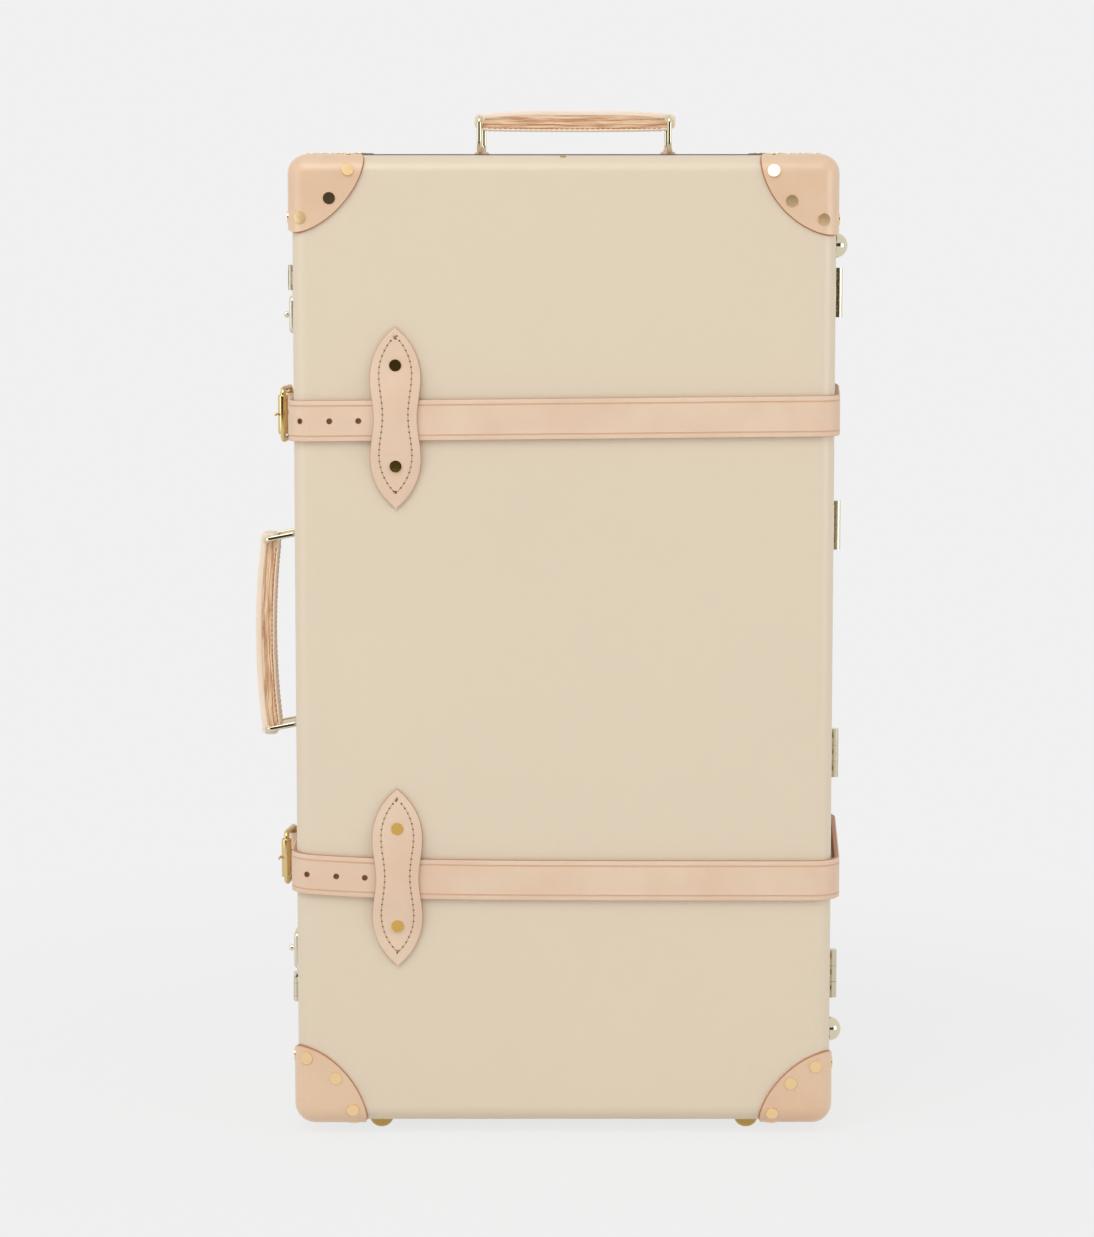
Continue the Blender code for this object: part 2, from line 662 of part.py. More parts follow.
def keeper_half_width(along):
    """Half the keeper's width: a waist between two lobes, each drawn out to a point by one arc."""
    lobe, waist = KEEPER_LOBE / 2, KEEPER_WAIST / 2
    beyond = abs(along) - KEEPER_LOBE_AT
    if beyond <= 0:
        return waist + (lobe - waist) * (1 - math.cos(math.pi * along / KEEPER_LOBE_AT)) / 2
    reach = KEEPER_LENGTH / 2 - KEEPER_LOBE_AT
    radius = (reach ** 2 + lobe ** 2) / (2 * lobe)
    return max(lobe - radius + math.sqrt(radius ** 2 - beyond ** 2), KEEPER_TIP)


def keeper_rise(along):
    """How far the keeper's underside stands off the panel: up over the strap, down beside it."""
    beyond = abs(along) - STRAP_WIDTH / 2 - KEEPER_LENGTH / KEEPER_ROWS
    blend = min(max(beyond / KEEPER_RISE_LENGTH, 0), 1)
    return SEAT_GAP + STRAP_OUT * (1 - blend * blend * (3 - 2 * blend))


def make_keepers():
    """Keepers on the panel, each a little above or below the middle of the strap that it crosses."""
    for level, height in STRAP_HEIGHTS.items():
        lift = KEEPER_LIFTS[level]
        build = bmesh.new()
        bmesh.ops.create_grid(build, x_segments=1, y_segments=KEEPER_ROWS, size=1)
        for vertex in build.verts:
            along = vertex.co.y * KEEPER_LENGTH / 2
            vertex.co = (vertex.co.x * keeper_half_width(along), -keeper_rise(along + lift), along)
        at = (left(-KEEPER_FROM_SIDE), -LID_DEPTH, height + lift)
        solidify(part(f"{level}_strap_keeper", finished(build), LEATHER, lid, at), KEEPER_THICKNESS, 1)


# Locks

def hasp_plate_mesh():
    """Plate on the lid with two bored ears, about the hasp's pivot."""
    wall = HASP_PIVOT_OUT - SEAT_GAP
    inside = wall - HASP_PLATE_THICKNESS / 2
    half = HASP_NECK / 2 + SEAT_GAP + EAR_LENGTH
    end = half + HASP_PLATE_THICKNESS
    plate = box(
        (wall, -HASP_PLATE_WIDTH / 2, -end),
        (wall - HASP_PLATE_THICKNESS, HASP_PLATE_WIDTH / 2, end))
    ear = [*arc((0, 0), HASP_BARREL, 90, 270, ROUND_SIDES // 2), (inside, -HASP_BARREL), (inside, HASP_BARREL)]
    ears = [slab(ear, -half, EAR_LENGTH - half), slab(ear, half - EAR_LENGTH, half)]
    bore = rod(HASP_PIN + SEAT_GAP, (0, 0, -2 * half), (0, 0, 2 * half))
    return shaped("DIFFERENCE", shaped("UNION", plate, *ears), bore)


def hasp_mesh():
    """Flap with a barrel and pin at its pivot and a rolled lip at its free end."""
    under = LOCK_OUT + RUNNING_GAP - HASP_PIVOT_OUT
    over = under + HASP_THICKNESS
    flap_start = HASP_BARREL + 2 * RUNNING_GAP
    end = HASP_PIVOT_BACK + HASP_REACH
    half = HASP_NECK / 2 + SEAT_GAP + EAR_LENGTH
    barrel = rod(HASP_BARREL, (0, 0, -HASP_NECK / 2), (0, 0, HASP_NECK / 2))
    neck = box((-under, 0, -HASP_NECK / 2), (-over, flap_start + HASP_THICKNESS, HASP_NECK / 2))
    flap = box((-under, flap_start, -HASP_WIDTH / 2), (-over, end, HASP_WIDTH / 2))
    lip = rod(HASP_LIP, (-over, end, -HASP_WIDTH / 2), (-over, end, HASP_WIDTH / 2))
    pin = rod(HASP_PIN, (0, 0, -half), (0, 0, half))
    return shaped("UNION", barrel, neck, flap, lip, pin)


def button_mesh():
    """Knob on a stem, drawn standing on a wall that faces up."""
    neck = BOSS_OUT + BUTTON_NECK
    root = BUTTON_FLOOR + SEAT_GAP
    top = BOSS_OUT + BUTTON_RISE
    head = [(x, top - BUTTON_HEAD + y) for x, y in arc((0, 0), BUTTON_HEAD, 90, 0)]
    return turned([*head, (BUTTON_HEAD, neck), (BUTTON_STEM, neck), (BUTTON_STEM, root), (0, root)])


def make_lock(level, up):
    """Lock body and sliding button on the base, hasp and its plate on the lid: up is 1 or -1."""
    start = HALF_HEIGHT - LOCK_FROM_END - LOCK_LENGTH
    button_y = LOCK_FROM_SEAM + BUTTON_FROM_FRONT
    button_z = start + BUTTON_FROM_END
    play = BUTTON_STEM + SEAT_GAP
    body = box(
        (left(SEAT_GAP), LOCK_FROM_SEAM, CASE_MIDDLE + up * start),
        (left(LOCK_OUT), LOCK_FROM_SEAM + LOCK_WIDTH, CASE_MIDDLE + up * (start + LOCK_LENGTH)), LOCK_EDGE)
    boss = box(
        (left(SEAT_GAP), LOCK_FROM_SEAM, CASE_MIDDLE + up * start),
        (left(BOSS_OUT), LOCK_FROM_SEAM + LOCK_WIDTH, CASE_MIDDLE + up * (start + BOSS_LENGTH)), LOCK_EDGE)
    slot = box(
        (left(BUTTON_FLOOR), button_y - play, CASE_MIDDLE + up * (button_z - BUTTON_TRAVEL - play)),
        (left(2 * BOSS_OUT), button_y + play, CASE_MIDDLE + up * (button_z + play)))
    part(f"{level}_lock_body", shaped("DIFFERENCE", shaped("UNION", body, boss), slot), BRASS, base)

    button_at = (left(0), button_y, CASE_MIDDLE + up * button_z)
    button_axis = carrier(f"{level}_lock_button_axis", button_at, base)
    part(f"{level}_lock_button", button_shape, BRASS, button_axis, button_at, -math.pi / 2)

    hasp_z = CASE_MIDDLE + up * (start + LOCK_LENGTH - HASP_FROM_END)
    pivot = (left(HASP_PIVOT_OUT), -HASP_PIVOT_BACK, hasp_z)
    hasp_axis = carrier(f"{level}_hasp_axis", pivot, lid)
    part(f"{level}_hasp_plate", hasp_plate_shape, BRASS, lid, pivot)
    part(f"{level}_hasp", hasp_shape, BRASS, hasp_axis, pivot)


# The whole case

base = carrier("base")
lid = carrier("lid_hinge_axis", (HALF_WIDTH + HINGE_AXIS_OUT, 0, CASE_MIDDLE), base)
mount_shape, loop_shape = mount_mesh(), loop_mesh()
hasp_plate_shape, hasp_shape, button_shape = hasp_plate_mesh(), hasp_mesh(), button_mesh()

make_case()
make_corners()
make_feet()
make_hinges()
make_handle(
    "top_handle", ("left", "right"), TOP_HANDLE_SPACING, (1, 0, 0), (TOP_HANDLE_X, HANDLE_FROM_SEAM, CASE_TOP),
    0.0, 0.0, TOP_GRIP_BOW)
make_handle(
    "side_handle", ("lower", "upper"), SIDE_HANDLE_SPACING, (0, 0, 1),
    (left(0), HANDLE_FROM_SEAM, CASE_MIDDLE + SIDE_HANDLE_LIFT), -math.pi / 2, -SIDE_LOOP_DROOP, SIDE_GRIP_BOW)
make_straps()
make_buckles()
make_keepers()
make_lock("upper", 1)
make_lock("lower", -1)
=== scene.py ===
"""Suitcase of varnished board: leather corners, straps and handles, brass fittings, wood frame, lining."""

import math
import random

import bmesh
import bpy
from mathutils import Matrix, Vector


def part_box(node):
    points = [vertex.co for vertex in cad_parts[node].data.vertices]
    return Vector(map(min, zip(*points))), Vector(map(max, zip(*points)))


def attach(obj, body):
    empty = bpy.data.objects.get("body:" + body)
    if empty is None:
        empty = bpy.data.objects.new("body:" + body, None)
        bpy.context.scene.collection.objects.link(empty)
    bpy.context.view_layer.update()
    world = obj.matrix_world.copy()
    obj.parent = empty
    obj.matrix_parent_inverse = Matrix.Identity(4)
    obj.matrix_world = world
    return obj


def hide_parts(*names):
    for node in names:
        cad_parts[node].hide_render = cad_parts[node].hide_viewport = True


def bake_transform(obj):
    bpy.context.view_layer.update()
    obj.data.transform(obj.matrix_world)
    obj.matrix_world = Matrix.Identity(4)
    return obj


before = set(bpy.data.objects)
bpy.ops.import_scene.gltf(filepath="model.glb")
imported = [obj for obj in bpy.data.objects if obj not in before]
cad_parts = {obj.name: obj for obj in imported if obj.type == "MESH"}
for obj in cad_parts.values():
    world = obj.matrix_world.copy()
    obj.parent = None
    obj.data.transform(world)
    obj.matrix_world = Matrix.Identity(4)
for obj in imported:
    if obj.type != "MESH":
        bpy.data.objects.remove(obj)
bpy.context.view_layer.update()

bl_info = {
    "name": "Suitcase dresser",
    "version": (1, 0, 0),
    "blender": (4, 5, 0),
    "location": "View3D > Sidebar > Suitcase",
    "description": "Dresses a packed suitcase with board, leather, brass, wood and cloth",
    "category": "Object",
}

LID_LOW, LID_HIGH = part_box("lid_shell")
BASE_LOW, BASE_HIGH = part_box("base_shell")
MIDDLE_X = (LID_LOW.x + LID_HIGH.x) / 2
HALF_WIDTH = (LID_HIGH.x - LID_LOW.x) / 2
FRONT, BACK = LID_LOW.y, BASE_HIGH.y
LID_MOUTH, BASE_MOUTH = LID_HIGH.y, BASE_LOW.y
SEAM = (LID_MOUTH + BASE_MOUTH) / 2
BOTTOM, TOP = LID_LOW.z, LID_HIGH.z

WALL = 0.003
EDGE_RADIUS = 0.014
SEAT = 0.0003
STRAP_HEIGHTS = {
    level: sum(corner.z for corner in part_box(f"{level}_strap_front")) / 2 for level in ("upper", "lower")}
STRAP_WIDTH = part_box("upper_strap_front")[1].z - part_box("upper_strap_front")[0].z
STRAP_THICKNESS = 0.004
STRAP_OUT = SEAT + STRAP_THICKNESS
# The bars of the buckles: how far behind the seam and out from the left wall they lie
BUCKLE_BAR, BUCKLE_BAR_OUT = 0.047, 0.009


# Shader maths

class Field:
    """One output socket of a node tree. Arithmetic on it adds Math nodes."""

    def __init__(self, tree, socket):
        self.tree, self.socket = tree, socket

    def maths(self, operation, first, second=0.0):
        return self.tree.add("ShaderNodeMath", {"operation": operation}, {0: first, 1: second})

    def __add__(self, other):
        return self.maths("ADD", self, other)

    def __sub__(self, other):
        return self.maths("SUBTRACT", self, other)

    def __rsub__(self, other):
        return self.maths("SUBTRACT", other, self)

    def __mul__(self, other):
        return self.maths("MULTIPLY", self, other)

    def __neg__(self):
        return self.maths("MULTIPLY", self, -1.0)

    __radd__, __rmul__ = __add__, __mul__

    def sine(self):
        return self.maths("SINE", self)

    def most(self, other):
        return self.maths("MAXIMUM", self, other)

    def step(self, low, high):
        """0 below low, 1 above high and a smooth rise between."""
        return self.tree.add(
            "ShaderNodeMapRange", {"interpolation_type": "SMOOTHSTEP"},
            {"Value": self, "From Min": low, "From Max": high, "To Min": 0.0, "To Max": 1.0})


class Tree:
    """A node tree under construction."""

    def __init__(self, nodes, links):
        self.nodes, self.links = nodes, links

    def add(self, kind, settings=None, values=None, output=0):
        """New node of that kind: its settings first, then its inputs, each a value or a field."""
        node = self.nodes.new(kind)
        for name, value in (settings or {}).items():
            setattr(node, name, value)
        for name, value in (values or {}).items():
            socket = node.inputs[name]
            if isinstance(value, Field):
                self.links.new(value.socket, socket)
            else:
                socket.default_value = value
        return Field(self, node.outputs[output]) if node.outputs else None

    def place(self):
        """Position on the piece itself, in metres."""
        return self.add("ShaderNodeTexCoord", output="Object")

    def stretched(self, vector, scale):
        return self.add("ShaderNodeVectorMath", {"operation": "MULTIPLY"}, {0: vector, 1: scale})

    def parts(self, vector):
        return [self.add("ShaderNodeSeparateXYZ", None, {0: vector}, axis) for axis in range(3)]

    def noise(self, vector, scale, detail=3.0, roughness=0.55):
        return self.add(
            "ShaderNodeTexNoise", None,
            {"Vector": vector, "Scale": scale, "Detail": detail, "Roughness": roughness})

    def cells(self, vector, scale):
        return self.add("ShaderNodeTexVoronoi", None, {"Vector": vector, "Scale": scale})

    def mix(self, factor, first, second):
        """Colour between two colours."""
        return self.add(
            "ShaderNodeMix", {"data_type": "RGBA"}, {"Factor": factor, 6: first, 7: second}, 2)

    def bump(self, height, distance, strength=1.0):
        return self.add(
            "ShaderNodeBump", None, {"Height": height, "Distance": distance, "Strength": strength})


def rgba(colour):
    return (*colour[:3], 1.0)


def shade(colour, factor):
    return (*(min(1.0, channel * factor) for channel in colour[:3]), 1.0)


def material(name, recipe):
    """Material whose recipe takes a tree and gives the inputs of its one principled shader."""
    made = bpy.data.materials.new(name)
    made.use_nodes = True
    tree = Tree(made.node_tree.nodes, made.node_tree.links)
    shader = made.node_tree.nodes["Principled BSDF"]
    for socket, value in recipe(tree).items():
        if isinstance(value, Field):
            tree.links.new(value.socket, shader.inputs[socket])
        else:
            shader.inputs[socket].default_value = value
    return made


def board_material(name, colour):
    """Pressed fibre board under a satin varnish: faint cloud, short fibres, slight orange peel."""
    def recipe(tree):
        place = tree.place()
        cloud = tree.noise(place, 5.0, 2.0)
        fibre = tree.noise(tree.stretched(place, (420.0, 90.0, 90.0)), 1.0, 4.0, 0.65)
        speck = tree.noise(place, 700.0, 2.0).step(0.66, 0.74)
        tone = (cloud - 0.5) * 0.5 + (fibre - 0.5) * 0.28 + 0.5
        base = tree.mix(tone, shade(colour, 0.955), shade(colour, 1.045))
        peel = tree.noise(place, 260.0, 2.0) * 0.7 + fibre * 0.3
        return {
            "Base Color": tree.mix(speck * 0.12, base, shade(colour, 0.72)),
            "Roughness": 0.40 + (fibre - 0.5) * 0.16,
            "Normal": tree.bump(peel, 0.00022, 0.5),
            "Coat Weight": 0.16, "Coat Roughness": 0.22}
    return material(name, recipe)


def leather_material(name, colour, flush, roughness=0.52, gloss=0.08):
    """Undyed hide: grain, pores and a slow drift towards a rosier tone."""
    def recipe(tree):
        place = tree.place()
        drift = tree.noise(place, 16.0, 3.0).step(0.32, 0.70)
        grain = tree.noise(place, 520.0, 4.0, 0.6)
        pores = tree.cells(place, 1500.0).step(0.02, 0.20)
        scuff = tree.noise(tree.stretched(place, (60.0, 60.0, 240.0)), 1.0, 3.0).step(0.62, 0.80)
        base = tree.mix(drift * 0.75, rgba(colour), rgba(flush))
        base = tree.mix((1 - pores) * 0.16, base, shade(flush, 0.62))
        base = tree.mix(grain.step(0.45, 0.75) * 0.16, base, shade(colour, 0.86))
        return {
            "Base Color": tree.mix(scuff * 0.14, base, shade(colour, 1.10)),
            "Roughness": roughness + (grain - 0.5) * 0.22,
            "Normal": tree.bump(grain * 0.7 + pores * 0.3, 0.00030, 0.45),
            "Coat Weight": gloss, "Coat Roughness": 0.30}
    return material(name, recipe)


def core_material(colour, dark):
    """Stacked layers of hide seen on their cut edges: long streaks, darker glue lines."""
    def recipe(tree):
        along, across, _ = tree.parts(tree.add("ShaderNodeTexCoord", output="UV"))
        wander = tree.noise(tree.place(), 90.0, 2.0) - 0.5
        level = across + wander * 0.02
        glue = ((level * (2 * math.pi * 3.0)).sine()).step(0.86, 1.0)
        vector = tree.add("ShaderNodeCombineXYZ", None, {0: along * 0.7, 1: level * 15.0, 2: 0.37})
        streak = tree.noise(vector, 1.0, 5.0, 0.68)
        fleck = tree.noise(tree.stretched(tree.place(), (900.0, 900.0, 900.0)), 1.0, 2.0)
        base = tree.mix(streak.step(0.40, 0.62), rgba(colour), rgba(dark))
        base = tree.mix(glue * 0.55, base, shade(dark, 0.55))
        return {
            "Base Color": tree.mix(fleck.step(0.5, 0.8) * 0.20, base, shade(colour, 1.15)),
            "Roughness": 0.62 + (streak - 0.5) * 0.2,
            "Normal": tree.bump(streak * 0.6 + fleck * 0.4 - glue * 0.5, 0.0005, 0.6)}
    return material("grip_core", recipe)


def brass_material(name, colour, polish):
    """Polished brass with faint cloudiness, hairlines and a darker film in the hollows of its finish."""
    def recipe(tree):
        place = tree.place()
        cloud = tree.noise(place, 120.0, 3.0)
        hairs = tree.noise(tree.stretched(place, (900.0, 900.0, 4000.0)), 1.0, 2.0)
        tarnish = tree.noise(place, 260.0, 4.0, 0.7).step(0.58, 0.80)
        return {
            "Base Color": tree.mix(tarnish * 0.22, rgba(colour), shade(colour, 0.66)),
            "Metallic": 1.0,
            "Roughness": polish + (cloud - 0.5) * 0.08 + tarnish * 0.08,
            "Normal": tree.bump(hairs, 0.00003, 0.25)}
    return material(name, recipe)


def wood_material(colour):
    """Steam-bent ash: fine lines that run along the strip, broad figure across it."""
    def recipe(tree):
        place = tree.place()
        figure = tree.noise(tree.stretched(place, (5.0, 90.0, 5.0)), 1.0, 3.0)
        lines = tree.noise(tree.stretched(place, (14.0, 1400.0, 14.0)), 1.0, 3.0)
        base = tree.mix(figure.step(0.35, 0.7), rgba(colour), shade(colour, 0.74))
        return {
            "Base Color": tree.mix(lines.step(0.5, 0.72) * 0.5, base, shade(colour, 0.55)),
            "Roughness": 0.5 + lines * 0.2,
            "Normal": tree.bump(lines, 0.0002, 0.5)}
    return material("wood", recipe)


def cloth_material(colour):
    """Plain weave lining: crossed threads with uneven dye."""
    def recipe(tree):
        x, y, z = tree.parts(tree.place())
        warp = ((x + y) * (2 * math.pi / 0.0011)).sine()
        weft = (z * (2 * math.pi / 0.0011)).sine()
        weave = warp * weft * 0.5 + 0.5
        drift = tree.noise(tree.place(), 18.0, 3.0)
        base = tree.mix(drift.step(0.3, 0.7), shade(colour, 0.93), shade(colour, 1.05))
        return {
            "Base Color": tree.mix(weave * 0.35, base, shade(colour, 0.72)),
            "Roughness": 0.9,
            "Sheen Weight": 0.2,
            "Normal": tree.bump(weave, 0.0003, 0.6)}
    return material("cloth", recipe)


def thread_material(name, colour):
    """Waxed thread, twisted."""
    def recipe(tree):
        x, y, z = tree.parts(tree.place())
        twist = ((x + y + z) * (2 * math.pi / 0.0009)).sine() * 0.5 + 0.5
        return {
            "Base Color": tree.mix(twist * 0.4, rgba(colour), shade(colour, 0.6)),
            "Roughness": 0.6 + twist * 0.1,
            "Normal": tree.bump(twist, 0.0001, 0.5)}
    return material(name, recipe)


# Mesh building

class Shape:
    """Points and faces gathered for one mesh. Each face has a material number."""

    def __init__(self):
        self.points, self.faces, self.numbers = [], [], []

    def add(self, solid, place=Matrix()):
        points, faces = solid[:2]
        first = len(self.points)
        self.points += [place @ Vector(point) for point in points]
        self.faces += [[first + corner for corner in face] for face in faces]
        self.numbers += solid[2] if len(solid) > 2 else [0] * len(faces)
        return self


def show(name, shape, materials, body, nodes=(), sharp=35.0, weighted=False):
    """Object of that shape, riding on a body and standing for the nodes."""
    mesh = bpy.data.meshes.new(name)
    mesh.from_pydata([tuple(point) for point in shape.points], [], shape.faces)
    for made in materials:
        mesh.materials.append(made)
    mesh.polygons.foreach_set("material_index", shape.numbers)
    build = bmesh.new()
    build.from_mesh(mesh)
    bmesh.ops.recalc_face_normals(build, faces=build.faces)
    build.to_mesh(mesh)
    build.free()
    mesh.shade_smooth()
    mesh.set_sharp_from_angle(angle=math.radians(sharp))
    piece = bpy.data.objects.new(name, mesh)
    bpy.context.scene.collection.objects.link(piece)
    if weighted:
        soften = piece.modifiers.new("even_shading", "WEIGHTED_NORMAL")
        soften.keep_sharp = True
    if body:
        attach(piece, body)
    if nodes:
        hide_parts(*nodes)
    return piece


def grid(rows, closed_rows=False, closed_columns=False):
    """Faces between rows of points, each row of the same length."""
    across = len(rows[0])
    faces = []
    for row in range(len(rows) - (not closed_rows)):
        for column in range(across - (not closed_columns)):
            near, far = row * across, (row + 1) % len(rows) * across
            following = (column + 1) % across
            faces.append([near + column, near + following, far + following, far + column])
    return [point for row in rows for point in row], faces


def arc(centre, radius, start, end, steps=8):
    angles = [math.radians(start + (end - start) * n / steps) for n in range(steps + 1)]
    return [(centre[0] + radius * math.cos(a), centre[1] + radius * math.sin(a)) for a in angles]


def rounded(low, high, low_radius, high_radius=None, steps=8):
    """Rectangle with round corners. The first radius is for the two low corners along the first axis."""
    high_radius = low_radius if high_radius is None else high_radius
    (x0, y0), (x1, y1) = low, high
    return [
        *arc((x0 + low_radius, y1 - low_radius), low_radius, 90, 180, steps),
        *arc((x0 + low_radius, y0 + low_radius), low_radius, 180, 270, steps),
        *arc((x1 - high_radius, y0 + high_radius), high_radius, 270, 360, steps),
        *arc((x1 - high_radius, y1 - high_radius), high_radius, 0, 90, steps)]


def turned(profile, steps=40):
    """Body turned about +Z from (radius, height) points. A zero radius closes it."""
    points, rings, faces = [], [], []
    for radius, height in profile:
        if radius < 1e-7:
            rings.append([len(points)])
            points.append((0, 0, height))
            continue
        rings.append([len(points) + n for n in range(steps)])
        points += [
            (radius * math.cos(2 * math.pi * n / steps), radius * math.sin(2 * math.pi * n / steps), height)
            for n in range(steps)]
    for low, high in zip(rings, rings[1:]):
        for n in range(steps):
            corners = [
                low[n % len(low)], low[(n + 1) % len(low)], high[(n + 1) % len(high)], high[n % len(high)]]
            faces.append(list(dict.fromkeys(corners)))
    return points, faces


def tube(path, radius, sides=16, closed=False, taper=1.0, across=None, square=2.0):
    """
    Wire along a path. Open ends are domed, and taper is the far end's share of the radius. A square of 2 is
    round; more flattens the wire across the given direction and at right angles to it.
    """
    path = [Vector(point) for point in path]
    count = len(path)
    tangents = []
    for n in range(count):
        if closed:
            ahead, behind = path[(n + 1) % count], path[n - 1]
        else:
            ahead, behind = path[min(n + 1, count - 1)], path[max(n - 1, 0)]
        tangents.append((ahead - behind).normalized())
    side = Vector(across) if across else tangents[0].orthogonal().normalized()
    rows = []

    def ring(centre, tangent, size):
        other = tangent.cross(side)
        points = []
        for n in range(sides):
            along, up = math.cos(2 * math.pi * n / sides), math.sin(2 * math.pi * n / sides)
            swell = (abs(along) ** square + abs(up) ** square) ** (-1 / square)
            points.append(centre + size * swell * (along * side + up * other))
        return points

    for n, (point, tangent) in enumerate(zip(path, tangents)):
        side = (side - side.dot(tangent) * tangent).normalized()
        size = radius * (1 + (taper - 1) * n / (count - 1))
        if not closed and n == 0:
            rows += [ring(point - size * math.cos(a) * tangent, tangent, size * math.sin(a))
                     for a in (0.02, 0.5, 1.0)]
        rows.append(ring(point, tangent, size))
        if not closed and n == count - 1:
            rows += [ring(point + size * math.cos(a) * tangent, tangent, size * math.sin(a))
                     for a in (1.0, 0.5, 0.02)]
    return grid(rows, closed_rows=closed, closed_columns=True)


def inset(outline, distance):
    """The outline moved in along its corners. It runs anticlockwise or clockwise."""
    count = len(outline)
    area = sum(
        outline[n][0] * outline[(n + 1) % count][1] - outline[(n + 1) % count][0] * outline[n][1]
        for n in range(count))
    turn = 1 if area > 0 else -1
    moved = []
    for n, point in enumerate(outline):
        before = Vector(point) - Vector(outline[n - 1])
        after = Vector(outline[(n + 1) % count]) - Vector(point)
        if before.length < 1e-9 or after.length < 1e-9:
            tangent = before + after
            miter = 1.0
        else:
            tangent = before.normalized() + after.normalized()
            miter = max(0.35, tangent.length / 2)
        tangent.normalize()
        moved.append((
            point[0] - turn * tangent.y * distance / miter, point[1] + turn * tangent.x * distance / miter))
    return moved


def slab(outline, low, high, edge=0.0, steps=3):
    """Plate between two heights with that outline and round edges top and bottom."""
    rows = []
    if edge:
        for n in range(steps + 1):
            a = math.pi / 2 * n / steps
            ring = inset(outline, edge * (1 - math.sin(a)))
            rows.append([(x, y, low + edge * (1 - math.cos(a))) for x, y in ring])
        for n in range(steps + 1):
            a = math.pi / 2 * (1 - n / steps)
            ring = inset(outline, edge * (1 - math.sin(a)))
            rows.append([(x, y, high - edge * (1 - math.cos(a))) for x, y in ring])
    else:
        rows = [[(x, y, low) for x, y in outline], [(x, y, high) for x, y in outline]]
    points, faces = grid(rows, closed_columns=True)
    count = len(outline)
    faces.append(list(range(count)))
    faces.append(list(range(len(points) - count, len(points))))
    return points, faces


def facing(at, out, up=(0, 0, 1)):
    """Frame at a point whose +Z faces out, its +Y as near up as it can be."""
    z = Vector(out).normalized()
    x = Vector(up).cross(z)
    x = x.normalized() if x.length > 1e-6 else z.orthogonal().normalized()
    y = z.cross(x)
    return Matrix.Translation(Vector(at)) @ Matrix((x, y, z)).transposed().to_4x4()


def tilted(spread, dice):
    """Small random lean, as of a hand-set rivet."""
    return (Matrix.Rotation(math.radians(dice.uniform(-spread, spread)), 4, "X")
            @ Matrix.Rotation(math.radians(dice.uniform(-spread, spread)), 4, "Y"))


def rivet(radius):
    """Flat-headed rivet with a crisp rim, its seat at height zero."""
    return turned([
        (radius, -0.0012), (radius, 0.00074), (radius * 0.985, 0.00090),
        (radius * 0.5, 0.00092), (0, 0.00092)])


def cut(piece, cutters):
    """Takes the cutters out of a piece for good and gives the cut faces its second material."""
    tools = bpy.data.meshes.new("cutter")
    tools.from_pydata([tuple(point) for point in cutters.points], [], cutters.faces)
    tools.polygons.foreach_set("material_index", [1] * len(tools.polygons))
    tool = bpy.data.objects.new("cutter", tools)
    bpy.context.scene.collection.objects.link(tool)
    boolean = piece.modifiers.new("cut", "BOOLEAN")
    boolean.operation, boolean.solver, boolean.object = "DIFFERENCE", "EXACT", tool
    bpy.context.view_layer.update()
    graph = bpy.context.evaluated_depsgraph_get()
    old = piece.data
    piece.data = bpy.data.meshes.new_from_object(piece.evaluated_get(graph))
    piece.modifiers.remove(boolean)
    bpy.data.objects.remove(tool)
    bpy.data.meshes.remove(old)
    piece.data.set_sharp_from_angle(angle=math.radians(35))


# Settings

def colour(name, description, default):
    return bpy.props.FloatVectorProperty(
        name=name, description=description, subtype="COLOR", size=3, min=0, max=1, default=default)


def length(name, description, default):
    return bpy.props.FloatProperty(
        name=name, description=description, default=default, min=0.0001, max=0.1,
        subtype="DISTANCE", unit="LENGTH")


def level(name, description, default, most):
    return bpy.props.FloatProperty(name=name, description=description, default=default, min=0, max=most)


